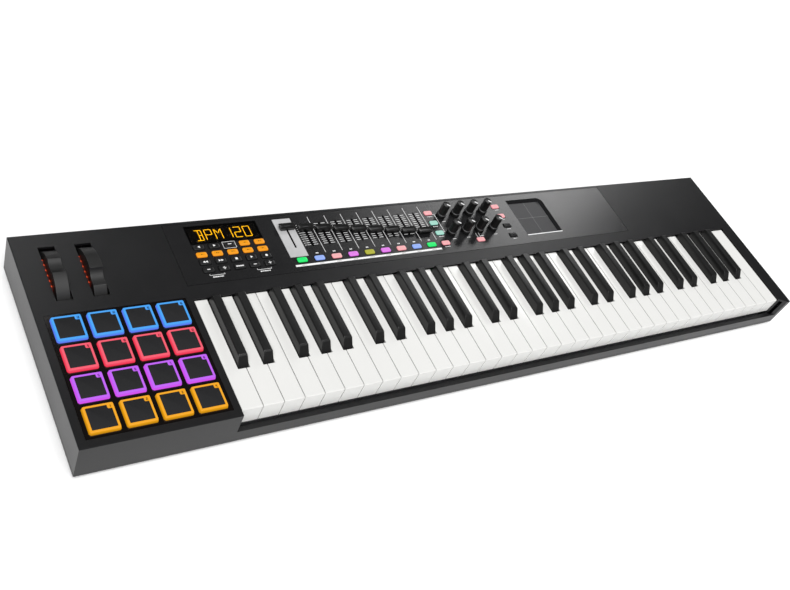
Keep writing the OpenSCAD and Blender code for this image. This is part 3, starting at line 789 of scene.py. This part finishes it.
@dataclass
class PadBlock:
    """Sixteen lit pads, each a translucent frame with a dark face set into it."""

    layout: Layout
    finishes: Finishes
    rise: float = 3.5 * MM
    border: float = 2.75 * MM
    notch: float = 4.1 * MM
    tints: tuple[Tint, ...] = PAD_TINTS

    def frame_surface(self) -> Surface:
        """One lit frame: an upright skirt, a round shoulder, the flat border and a shallow floor."""
        z = self.layout.z_top
        half = self.layout.pad_side / 2
        top = z + self.rise
        wall = [(0.0, z - 3.0 * MM)] + soft_edge(z, top - 0.1 * MM, 0.45 * MM, 6, 0.6 * MM)
        inner = [(self.border, top - 0.1 * MM), (self.border + 0.1 * MM, top - 0.5 * MM),
                 (self.border + 2.0 * MM, top - 0.5 * MM)]
        return raised(rectangle(half, half, 2.4 * MM, 7), wall + inner)

    def face_surface(self) -> Surface:
        """The dark face with its corner cut out beside the number."""
        z = self.layout.z_top + self.rise
        h = self.layout.pad_side / 2 - self.border - 0.08 * MM
        n = h - self.notch
        corners = np.array([[-h, -h], [h, -h], [h, n], [n, n], [n, h], [-h, h]])
        radius = np.array([1.0, 1.0, 0.5, 1.6, 0.5, 1.0]) * MM
        return raised(rounded_outline(corners, radius, 6), soft_edge(z - 0.48 * MM, z, 0.3 * MM, 4))

    def number_surface(self, number: int) -> Surface:
        """A small two-digit number of plain bars in the corner of a pad.

        Args:
            number: from 1 to 16.

        Returns:
            The bars, about the pad's centre.
        """
        z = self.layout.z_top + self.rise
        h = self.layout.pad_side / 2 - self.border
        text = str(number)
        rows = []
        wide, tall, stroke, pitch = 1.05 * MM, 1.15 * MM, 0.4 * MM, 1.7 * MM
        middle = h - self.notch / 2
        for k, digit in enumerate(text):
            x = middle + 0.5 * MM + (k - (len(text) - 1) / 2) * pitch
            rows.append(SevenBars.rows(digit, x - wide / 2, middle + 0.4 * MM - tall, wide, tall, stroke))
        return bars(np.concatenate(rows), z - 0.35 * MM, z - 0.12 * MM)

    def build(self) -> None:
        """Makes the four rows."""
        columns = np.arange(4) * self.layout.pad_pitch + self.layout.pad_x
        for row, tint in enumerate(self.tints):
            y = self.layout.pad_y + row * self.layout.pad_pitch
            places = np.stack([columns, np.full(4, y), np.zeros(4)], axis=1)
            body = f"pads_row_{row + 1}"
            slot = "pad_" + tint.name.lower()
            lit = self.finishes[tint.finish]
            glow = self.frame_surface().stamped(places).placed(f"{body}_frames", lit, body, slot)
            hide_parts(body)
            faces = self.face_surface().stamped(places)
            faces.placed(f"{body}_faces", self.finishes["pad_face"], body, slot)
            numbers = [self.number_surface(row * 4 + k + 1).stamped(places[k]) for k in range(4)]
            Surface.joined(numbers).placed(f"{body}_numbers", self.finishes["pad_digits"], body, slot)


class SevenBars:
    """Digits made of seven straight bars."""

    SHAPES = {"0": "abcdef", "1": "bc", "2": "abged", "3": "abgcd", "4": "fgbc", "5": "afgcd", "6": "afgedc",
              "7": "abc", "8": "abcdefg", "9": "abcdfg"}

    @classmethod
    def rows(cls, digit: str, x: float, y: float, wide: float, tall: float, stroke: float) -> np.ndarray:
        """Bar rows of one digit.

        Args:
            digit: from 0 to 9.
            x: left edge.
            y: lower edge.
            wide: width of the digit.
            tall: half its height.
            stroke: thickness of a bar.

        Returns:
            Rows for bars().
        """
        table = {
            "a": (x + wide / 2, y + 2 * tall, wide, stroke, 0.0),
            "g": (x + wide / 2, y + tall, wide, stroke, 0.0),
            "d": (x + wide / 2, y, wide, stroke, 0.0),
            "f": (x, y + 1.5 * tall, tall, stroke, UPRIGHT),
            "b": (x + wide, y + 1.5 * tall, tall, stroke, UPRIGHT),
            "e": (x, y + 0.5 * tall, tall, stroke, UPRIGHT),
            "c": (x + wide, y + 0.5 * tall, tall, stroke, UPRIGHT),
        }
        return np.array([table[key] for key in cls.SHAPES[digit]])


@dataclass
class Wheels:
    """The pitch and modulation wheels."""

    frame: dict
    finishes: Finishes
    ease: float = 0.8 * MM

    def build(self) -> None:
        """Eases both wheels' edges."""
        for node in ("pitch_wheel", "mod_wheel"):
            eased(self.frame, node, node, self.finishes["wheel_plastic"], self.ease, 3, True)


@dataclass
class DisplayUnit:
    """Amber characters of fourteen bars each, behind the dark window."""

    layout: Layout
    finishes: Finishes
    reading: str = "BPM120"
    glyph_wide: float = 7.8 * MM
    glyph_tall: float = 7.4 * MM
    pitch: float = 11.6 * MM
    stroke: float = 0.9 * MM

    SHAPES = {"B": "abcdilG", "P": "abefgG", "M": "bcefhj", "1": "bc", "2": "abgGed", "0": "abcdef"}
    ENDS = {
        "a": (0, 2, 1, 2), "b": (1, 2, 1, 1), "c": (1, 1, 1, 0), "d": (0, 0, 1, 0), "e": (0, 1, 0, 0),
        "f": (0, 2, 0, 1), "g": (0, 1, 0.5, 1), "G": (0.5, 1, 1, 1), "h": (0.08, 1.9, 0.5, 1.1),
        "i": (0.5, 2, 0.5, 1), "j": (0.92, 1.9, 0.5, 1.1), "k": (0.5, 0.9, 0.08, 0.1),
        "l": (0.5, 1, 0.5, 0), "m": (0.5, 0.9, 0.92, 0.1),
    }

    def glyph_rows(self, keys: str, x: float, y: float) -> np.ndarray:
        """Bar rows of one character: each bar spans its two ends less a small gap.

        Args:
            keys: the bars that are drawn.
            x: left edge of the character.
            y: lower edge of the character.

        Returns:
            Rows for bars().
        """
        ends = np.array([self.ENDS[k] for k in keys]) * np.array(
            [self.glyph_wide, self.glyph_tall, self.glyph_wide, self.glyph_tall]
        )
        centre = (ends[:, :2] + ends[:, 2:]) / 2 + (x, y)
        along = ends[:, 2:] - ends[:, :2]
        length = np.linalg.norm(along, axis=1) - 0.35 * MM
        angle = np.arctan2(along[:, 1], along[:, 0])
        return np.stack([centre[:, 0], centre[:, 1], length, np.full(len(ends), self.stroke), angle], axis=1)

    def build(self) -> None:
        """Makes the lit and the unlit bars."""
        low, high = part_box("display_window")
        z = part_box("display_module")[1].z
        x0 = (low.x + high.x - 5 * self.pitch - self.glyph_wide) / 2
        y0 = (low.y + high.y) / 2 - self.glyph_tall
        lit, dim = [], []
        for k, character in enumerate(self.reading):
            on = self.SHAPES[character]
            lit.append(self.glyph_rows(on, x0 + k * self.pitch, y0))
            dim.append(self.glyph_rows("".join(s for s in self.ENDS if s not in on), x0 + k * self.pitch, y0))
        for name, rows, finish in (("display_lit", lit, "glyph"), ("display_unlit", dim, "glyph_dim")):
            glyphs = bars(np.concatenate(rows), z - 0.05 * MM, z + 0.1 * MM)
            glyphs.placed(name, self.finishes[finish], CASE, "display_amber")


@dataclass
class FaderBank:
    """Nine fader caps with hollowed tops."""

    finishes: Finishes
    half: tuple[float, float] = (10.2 * MM, 4.2 * MM)
    tall: float = 4.2 * MM
    hollow: float = 0.8 * MM

    def cap(self, low: float, high: float, stem_low: float) -> Surface:
        """A cap that widens upwards, with a hollow across its top, on its stem.

        Args:
            low: height of its underside.
            high: height of its top.
            stem_low: height of the stem's foot.

        Returns:
            The cap about the origin: the top dips as hollow (1 - (y / half)^2).
        """
        hx, hy = self.half
        rise = np.array([0.0, 0.0, 0.25, 0.7, 0.93, 0.985, 1.0])
        grow = np.array([0.85, 0.875, 0.89, 0.95, 1.0, 0.99, 0.965])
        height = low + (high - low) * rise
        outline = rectangle(hx, hy, 1.4 * MM, 6)
        rings = outline[None] * grow[:, None, None]
        inner = outline[None] * np.array([0.86, 0.7, 0.5, 0.3, 0.1])[:, None, None]
        flat = np.concatenate([rings, inner])
        z = np.concatenate([height, np.full(5, high)])[:, None] * np.ones(flat.shape[1])
        dip = self.hollow * np.clip(1 - (flat[..., 1] / (hy * 0.86)) ** 2, 0, None)
        z[len(height):] -= dip[len(height):]
        body = rings_surface(np.concatenate([flat, z[..., None]], axis=2))
        stem = raised(rectangle(0.8 * MM, 2.0 * MM, 0.2 * MM, 3), [(0.0, stem_low), (0.0, low + 0.5 * MM)])
        return Surface.joined([body, stem])

    def build(self) -> None:
        """Makes the nine caps and their centre lines."""
        for i in range(9):
            node = f"fader_cap_{i + 1}"
            (low, high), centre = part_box(node), box_middle(node)
            cap = self.cap(high.z - self.tall, high.z, low.z).stamped(centre)
            body = cap.placed(node + "_body", self.finishes["cap_black"], node, "cap_black", 50.0)
            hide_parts(node)
            line = bars(np.array([0.0, 0.0, 15.0 * MM, 0.5 * MM, 0.0]), high.z - 1.0 * MM, high.z - 0.74 * MM)
            line.stamped(centre).placed(node + "_line", self.finishes["knob_ring"], node, "cap_black")


@dataclass
class KnobBank:
    """Eight fluted knobs with white pointers."""

    layout: Layout
    finishes: Finishes
    grip: float = 5.3 * MM
    skirt: float = 6.3 * MM
    flutes: int = 12

    def knob(self, low: float, top: float, shaft_low: float) -> Surface:
        """One knob about the origin, from its shaft's foot to its top.

        Args:
            low: height of the skirt's underside.
            top: height of the top.
            shaft_low: height of the shaft's foot.

        Returns:
            A turned shape with grooves along the grip.
        """
        g, s = self.grip, self.skirt
        skirt_radii = [2.0 * MM, 2.0 * MM, s - 0.3 * MM, s, s, s - 0.25 * MM, g + 0.15 * MM]
        skirt_heights = [shaft_low, low] + [low + up * MM for up in (0.0, 0.3, 3.4, 3.8, 3.9)]
        grip_radii = [g, g] + [g - by * MM for by in (0.1, 0.5, 1.1, 1.4)] + [0.5 * MM]
        grip_heights = [low + 4.3 * MM] + [top - down * MM for down in (1.2, 0.5, 0.08, 0.0, 0.15, 0.2)]
        depth = np.array([0.0] * 7 + [0.35, 0.35, 0.3, 0.12, 0.0, 0.0, 0.0]) * MM
        radii, heights = np.array(skirt_radii + grip_radii), np.array(skirt_heights + grip_heights)
        return turned_profile(radii, heights, 96, self.flutes, depth)

    def build(self) -> None:
        """Makes the eight knobs."""
        for i in range(8):
            node = f"knob_{i + 1}"
            (low, high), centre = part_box(node), box_middle(node)
            knob = self.knob(self.layout.z_top + 1.0 * MM, high.z, low.z).stamped(centre)
            grip = knob.placed(node + "_grip", self.finishes["knob_black"], node, "knob_black", 50.0)
            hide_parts(node)
            ring_z = self.layout.z_top + 4.9 * MM
            ring = turned_profile(np.array([5.3, 6.0, 6.05, 5.9, 5.3]) * MM,
                                  ring_z + np.array([0.0, 0.0, 0.15, 0.32, 0.34]) * MM, 64).stamped(centre)
            ring.placed(node + "_ring", self.finishes["knob_ring"], node, "knob_black", 50.0)
            pointer = bars(np.array([2.6 * MM, 0.0, 4.7 * MM, 1.7 * MM, 0.0]), high.z - 0.25 * MM, high.z)
            pointer = pointer.turned(-math.pi / 4).stamped(centre)
            pointer.placed(node + "_pointer", self.finishes["ink_white"], node, "knob_black")


@dataclass
class Buttons:
    """All push buttons, with the symbols on them."""

    layout: Layout
    finishes: Finishes
    orange: tuple[tuple[int, int], ...] = ((0, 3), (0, 4), (1, 0), (1, 1), (1, 2), (1, 3), (1, 4))
    fader_tints: tuple[Tint, ...] = (Tint.GREEN, Tint.SKY, Tint.PINK, Tint.MAGENTA, Tint.LIME, Tint.MAGENTA,
                                     Tint.PINK, Tint.SKY, Tint.GREEN)
    side_finishes: tuple[tuple[str, str], ...] = (("lit_pink", "button_black"), ("lit_teal", "button_black"),
                                                  ("lit_teal", "lit_pink"), ("lit_pink", "lit_pink"))

    def cap(self, half: tuple[float, float]) -> Surface:
        """One button about the origin: upright sides, a round edge and a slightly crowned top."""
        z = self.layout.z_top
        top = z + self.layout.button_rise
        profile = soft_edge(z - 2.9 * MM, top - 0.30 * MM, 0.6 * MM, 5, 0.12 * MM)
        profile += [(1.3 * MM, top - 0.14 * MM), (2.1 * MM, top - 0.04 * MM), (2.9 * MM, top)]
        return raised(rectangle(half[0], half[1], 2.3 * MM, 7), profile)

    def caps(self, body: str, slot: str, half: tuple[float, float],
             pieces: list[tuple[str, str, list]]) -> None:
        """Makes a body's caps, one piece for each finish, and hides the body's CAD node.

        Args:
            body: the body, which has its CAD node's name.
            slot: the record's material slot.
            half: half the caps' width and depth.
            pieces: a name, a finish and the caps' centres for each piece.
        """
        for name, finish, centres in pieces:
            places = np.array([(x, y, 0.0) for x, y in centres])
            self.cap(half).stamped(places).placed(name, self.finishes[finish], body, slot)
        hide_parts(body)

    def symbols(self) -> None:
        """White symbols on the black buttons by the display."""
        z = self.layout.z_top + self.layout.button_rise
        low, high = z - 0.35 * MM, z + 0.04 * MM
        grid = self.layout.grid
        arrow = rounded_outline(np.array([[-1.35, -1.55], [1.55, 0], [-1.35, 1.55]]) * MM, 0.12 * MM, 3)
        right = raised(arrow, [(0.0, low), (0.0, high)])
        left = right.turned(math.pi)
        disc = turned_profile(np.array([1.55, 1.55]) * MM, np.array([low, high]), 24)
        square = raised(rectangle(1.4 * MM, 1.4 * MM, 0.1 * MM, 3), [(0.0, low), (0.0, high)])
        parts = []

        pair = 1.5 * MM
        for mark, row, column, dx in (
            (left, 0, 0, 0.0), (right, 0, 1, 0.0), (left, 2, 0, -pair), (left, 2, 0, pair),
            (right, 2, 1, -pair), (right, 2, 1, pair), (square, 2, 2, 0.0), (right, 2, 3, 0.0),
            (disc, 2, 4, 0.0),
        ):
            x, y = grid(row, column)
            parts.append(mark.stamped(np.array([[x + dx, y, 0.0]])))
        rows = []
        for column in (0, 1, 3, 4):
            x, y = grid(3, column)
            rows.append((x, y, 3.7 * MM, 0.9 * MM, 0.0))
            if column in (1, 4):
                rows.append((x, y, 3.7 * MM, 0.9 * MM, UPRIGHT))
        x, y = grid(3, 2)
        rows += [(x + d * MM, y, 1.8 * MM, 1.7 * MM, 0.0) for d in (-3.5, -1.2, 1.1, 3.4)]
        x, y = grid(0, 2)
        rows.append((x, y, 4.2 * MM, 1.0 * MM, 0.0))
        parts.append(bars(np.array(rows), low, high))
        white = Surface.joined(parts)
        white.placed("symbols_white", self.finishes["ink_white"], "buttons_black", "button_black")
        rows = []
        for row, column in self.orange:
            x, y = grid(row, column)
            wide = (1.5, 1.1, 1.3, 0.9, 1.4)[(row * 3 + column) % 5] * MM
            rows.append((x - 0.7 * wide, y, wide, 1.1 * MM, 0.0))
            rows.append((x + 0.7 * wide, y - 0.1 * MM, 0.7 * wide, 0.9 * MM, 0.0))
        dark = bars(np.array(rows), low, high - 0.02 * MM)
        dark.placed("symbols_dark", self.finishes["ink_dark"], "buttons_orange", "button_orange")

    def build(self) -> None:
        """Makes all the caps and their symbols."""
        lay = self.layout
        orange = [lay.grid(*at) for at in self.orange]
        black = [lay.grid(r, c) for r in range(4) for c in range(5) if (r, c) not in self.orange]
        self.caps("buttons_orange", "button_orange", lay.button_half, [("caps_orange", "lit_orange", orange)])
        self.caps("buttons_black", "button_black", lay.button_half, [("caps_black", "button_black", black)])
        self.caps("buttons_fader", "button_lit", lay.fader_half, [
            (f"cap_fader_{i + 1}", tint.finish, [(lay.fader(i), lay.fader_button_y)])
            for i, tint in enumerate(self.fader_tints)
        ])
        sides = []
        for i, (left, right) in enumerate(self.side_finishes):
            y = lay.side_y + i * lay.column_pitch
            sides.append((f"cap_left_{i + 1}", left, [(lay.side_x, y)]))
            sides.append((f"cap_right_{i + 1}", right, [(lay.right_x, y)]))
        sides.append(("cap_single", "lit_pink", [lay.single]))
        self.caps("buttons_side", "button_pink", lay.side_half, sides)
        self.symbols()


@dataclass
class PanelPrint:
    """Printed lines, scales and plain dashes on the panel, and the lines on the touch pad."""

    layout: Layout
    finishes: Finishes
    seed: int = 7
    half_travel: float = 15.5 * MM
    ticks: int = 11
    dash_gap: float = 0.35 * MM
    below_button: float = 5.9 * MM
    # Width of the dark rim round each button, painted shade for the gap where the button meets the panel.
    well_rim: float = 0.55 * MM
    seam_wide: float = 0.5 * MM

    def __post_init__(self) -> None:
        """Starts the seeded random source."""
        self.rng = np.random.default_rng(self.seed)

    def dashes(self, x: float, y: float, wide: float, tall: float) -> list[tuple]:
        """Short strokes that stand for a small caption.

        Args:
            x: centre.
            y: centre.
            wide: whole width.
            tall: height of the strokes.

        Returns:
            Rows for bars().
        """
        rows, at = [], x - wide / 2
        while at < x + wide / 2 - 0.4 * MM:
            step = min(float(self.rng.uniform(0.7, 1.5)) * MM, x + wide / 2 - at)
            rows.append((at + step / 2, y, step, tall * float(self.rng.uniform(0.7, 1.0)), 0.0))
            at += step + self.dash_gap
        return rows

    def strokes(self, name: str, rows: list[tuple], low: float, high: float, finish: str,
                slot: str = "panel_plastic") -> None:
        """Makes one piece of bars on the case.

        Args:
            name: the piece's name.
            rows: rows for bars().
            low: height of the undersides.
            high: height of the tops.
            finish: name of the finish.
            slot: the record's material slot.
        """
        bars(np.array(rows), low, high).placed(name, self.finishes[finish], CASE, slot)

    def fader_rows(self) -> list[tuple]:
        """Ticks beside the faders, lines between them, the band and the numbers under them."""
        lay = self.layout
        kx, ky = lay.key_x, lay.key_y
        heights = lay.fader_y + np.linspace(-self.half_travel, self.half_travel, self.ticks)
        rows = [(lay.fader(i) + side * 4.7 * MM, y, 5.6 * MM, 0.62 * MM, 0.0)
                for i in range(1, 9) for y in heights for side in (-1, 1)]
        rows += [(lay.fader(0) + 14.5 * MM, y, 3.4 * MM, 0.6 * MM, 0.0) for y in heights]
        rows += [(lay.fader(i + 0.5), ky + 210 * MM, 56 * MM, 0.55 * MM, UPRIGHT) for i in range(1, 9)]
        rows.append((kx + 233.2 * MM, ky + 166.8 * MM, 204 * MM, 2.7 * MM, 0.0))
        rows += [(lay.fader(i) + d * MM, ky + 182.3 * MM, 1.4 * MM, 1.6 * MM, 0.0)
                 for i in range(9) for d in (-0.95, 0.95)]
        return rows

    def caption_rows(self) -> list[tuple]:
        """Brackets and captions by the buttons and knobs, and the outline of one button."""
        lay = self.layout
        kx, ky = lay.key_x, lay.key_y
        rows: list[tuple] = []
        wide = 17 * MM
        for x in (kx + 37 * MM, kx + 93 * MM):
            rows.append((x, ky + 168.2 * MM, wide, 0.5 * MM, 0.0))
            rows += [(x + s * wide / 2, ky + 169.0 * MM, 1.8 * MM, 0.5 * MM, UPRIGHT) for s in (-1, 1)]
            rows += self.dashes(x, ky + 165.6 * MM, 12 * MM, 1.7 * MM)
        rows.append((kx + 354 * MM, ky + 208 * MM, 30 * MM, 0.6 * MM, UPRIGHT))
        rows += [(kx + 352 * MM, ky + y * MM, 4 * MM, 0.6 * MM, 0.0) for y in (223, 193)]
        for j in range(4):
            y = lay.side_y + j * lay.column_pitch - self.below_button
            rows += self.dashes(lay.side_x, y, 8 * MM, 1.0 * MM)
            rows += self.dashes(lay.right_x, y, 6 * MM, 0.9 * MM)
        for i in range(8):
            y = ky + (209.5 if i < 4 else 179.7) * MM
            rows += self.dashes(kx + 362.5 * MM + i % 4 * lay.knob_pitch, y, 5 * MM, 1.0 * MM)
        rows += [(lay.single[0] + s * 2.2 * MM, ky + 181.5 * MM, 7 * MM, 0.5 * MM, UPRIGHT) for s in (-1, 1)]
        x, y = lay.grid(0, 2)
        half_x, half_y = 7.4 * MM, 4.6 * MM
        rows += [(x, y + s * half_y, 2 * half_x, 0.45 * MM, 0.0) for s in (-1, 1)]
        rows += [(x + s * half_x, y, 2 * half_y, 0.45 * MM, UPRIGHT) for s in (-1, 1)]
        return rows

    def wells(self) -> None:
        """Makes the dark rim in the panel round each button, painted shade where the gap between button and
        panel falls into shadow.
        """
        lay = self.layout
        z, rim = lay.z_top, self.well_rim
        grid = [lay.grid(r, c) for r in range(4) for c in range(5)]
        under = [(lay.fader(i), lay.fader_button_y) for i in range(9)]
        sides = [(x, lay.side_y + i * lay.column_pitch) for i in range(4) for x in (lay.side_x, lay.right_x)]
        sides.append(lay.single)
        parts = []
        for centres, half in ((grid, lay.button_half), (under, lay.fader_half), (sides, lay.side_half)):
            outline = rectangle(half[0] + rim, half[1] + rim, 2.0 * MM, 6)
            places = np.array([(x, y, 0.0) for x, y in centres])
            parts.append(raised(outline, [(0.0, z - 0.02 * MM), (0.0, z + 0.02 * MM)]).stamped(places))
        Surface.joined(parts).placed("button_painted_shade_rims", self.finishes["seam_and_shade_dark"], CASE, "panel_plastic")

    def touch_marks(self) -> None:
        """Makes the cross on the touch pad, a bright strip before it that paints the highlight on the front
        wall of its recess, and its rounded corner.
        """
        z = self.layout.z_top
        (low, high), (cx, cy, _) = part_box("touch_pad"), box_middle("touch_pad")
        side = high.x - low.x
        cross = [(cx, cy, side - 4 * MM, 0.4 * MM, angle) for angle in (0.0, UPRIGHT)]
        z_pad = high.z
        self.strokes("touch_lines", cross, z_pad - 0.02 * MM, z_pad + 0.03 * MM, "ink_grey", "touch_surface")
        # Painted highlight: a light strip where the recess's front wall catches the light.
        painted_highlight = [(cx, low.y - 2.6 * MM, side + 4 * MM, 1.2 * MM, 0.0)]
        self.strokes("touch_painted_highlight", painted_highlight, z - 0.02 * MM, z + 0.2 * MM, "painted_highlight_strip", "touch_surface")
        bend = np.linspace(0.0, math.pi / 2, 12)
        corner, r = np.array([high.x + 1.9 * MM, high.y + 1.9 * MM]), 9.0 * MM
        arc = corner - r + r * np.stack([np.cos(bend), np.sin(bend)], axis=1)
        fillet = raised(np.concatenate([[corner], arc[::-1]]), [(0.0, z_pad), (0.0, z)])
        fillet.placed("touch_corner", self.finishes["panel_plastic"], CASE, "panel_plastic")

    def build(self) -> None:
        """Makes the printed pieces."""
        lay = self.layout
        z = lay.z_top
        print_rows = self.fader_rows() + self.caption_rows()
        self.strokes("panel_print", print_rows, z - 0.02 * MM, z + 0.04 * MM, "ink_white")
        (low, high), (cx, cy, _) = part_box("control_panel"), box_middle("control_panel")
        seam = [(cx, y, high.x - low.x, self.seam_wide, 0.0) for y in (low.y, high.y)]
        seam += [(x, cy, high.y - low.y, self.seam_wide, UPRIGHT) for x in (low.x, high.x)]
        self.strokes("panel_seam", seam, z - 0.02 * MM, z + 0.015 * MM, "seam_and_shade_dark")
        # Painted shade round every button.
        self.wells()
        marks: list[tuple] = []
        for i in range(9):
            marks += self.dashes(lay.fader(i), lay.key_y + 166.8 * MM, 6.0 * MM, 0.9 * MM)
        self.strokes("band_print", marks, z, z + 0.06 * MM, "ink_dark")
        self.touch_marks()


# ---- studio --------------------------------------------------------------------------------


@dataclass
class Studio:
    """Floor, soft lights and camera."""

    camera_at: Vector = field(default_factory=lambda: Vector((-0.72173, -0.54924, 0.81065)))
    camera_turn: tuple[float, float, float] = (40.1605, -20.7287, -27.4162)
    lens: float = 43.7
    shift_y: float = 0.05706
    floor_side: float = 30.0
    floor_thick: float = 0.02
    world_strength: float = 0.05

    def camera(self) -> None:
        """Adds the camera at the viewing angle."""
        data = bpy.data.cameras.new("view")
        data.lens = self.lens
        data.sensor_width = 36.0
        data.shift_y = self.shift_y
        data.clip_end = 50.0
        camera = linked("view", data)
        camera.location = self.camera_at
        camera.rotation_euler = [math.radians(a) for a in self.camera_turn]
        bpy.context.scene.camera = camera

    def soft_box(self, name: str, at: tuple[float, float, float], aim: tuple[float, float, float],
                 size: tuple[float, float], power: float) -> None:
        """Adds a rectangular area light.

        Args:
            name: its name.
            at: where it is.
            aim: what it points at.
            size: width and height.
            power: watts.
        """
        data = bpy.data.lights.new(name, "AREA")
        data.shape = "RECTANGLE"
        data.size, data.size_y = size
        data.energy = power
        light = linked(name, data)
        light.location = at
        light.rotation_euler = (Vector(aim) - Vector(at)).to_track_quat("-Z", "Y").to_euler()

    def sky(self, towards: tuple[float, float, float], strength: float, spread: float) -> None:
        """Adds a broad overhead light.

        Args:
            towards: direction from the object to the light.
            strength: light on a facing surface, W/m2.
            spread: apparent width of the light, degrees.
        """
        data = bpy.data.lights.new("overhead", "SUN")
        data.energy = strength
        data.angle = math.radians(spread)
        light = linked("overhead", data)
        light.rotation_euler = (-Vector(towards)).to_track_quat("-Z", "Y").to_euler()

    def floor(self) -> None:
        """Adds a pale floor."""
        material, tree, shader = fresh_material("floor_paper")
        noise = with_values(tree.nodes.new("ShaderNodeTexNoise"), Scale=3.0)
        mix = colour_mix(tree, (0.93, 0.93, 0.93), (0.95, 0.95, 0.95))
        tree.links.new(noise.outputs["Fac"], mix.inputs["Factor"])
        tree.links.new(mix.outputs["Result"], shader.inputs["Base Color"])
        with_values(shader, Roughness=0.9, Specular_IOR_Level=0.1)
        side, thick = self.floor_side, self.floor_thick
        sheet = bars(np.array([[0.0, 0.0, side, side, 0.0]]), -thick, 0.0).to_object("floor", material)

    def build(self) -> None:
        """Sets up the whole studio."""
        self.camera()
        self.floor()
        world = bpy.data.worlds.new("studio")
        world.use_nodes = True
        background = world.node_tree.nodes["Background"]
        with_values(background, Color=with_alpha((1.0, 1.0, 1.0)), Strength=self.world_strength)
        scene = bpy.context.scene
        scene.world = world
        scene.view_settings.view_transform = "Standard"
        self.sky((-0.22, -0.38, 0.90), 3.9, 60.0)
        self.soft_box("rear_right", (1.877, 1.631, 1.411), (0.15, 0.1, 0.05), (0.85, 0.85), 11.5)
        self.soft_box("rear_left", (-0.14, 1.77, 1.85), (-0.4, 0.1, 0.05), (0.5, 0.5), 4.0)


def main() -> None:
    """Builds every sub-assembly in order."""
    logging.basicConfig(level=logging.INFO, format="%(name)s: %(message)s")
    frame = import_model()
    layout = Layout()
    finishes = Finishes(layout.z_top)
    CaseShell(frame, finishes).build()
    Keyboard(frame, finishes).build()
    PadBlock(layout, finishes).build()
    Wheels(frame, finishes).build()
    DisplayUnit(layout, finishes).build()
    FaderBank(finishes).build()
    KnobBank(layout, finishes).build()
    Buttons(layout, finishes).build()
    PanelPrint(layout, finishes).build()
    Studio().build()
    bpy.context.view_layer.update()


if __name__ == "__main__":
    main()
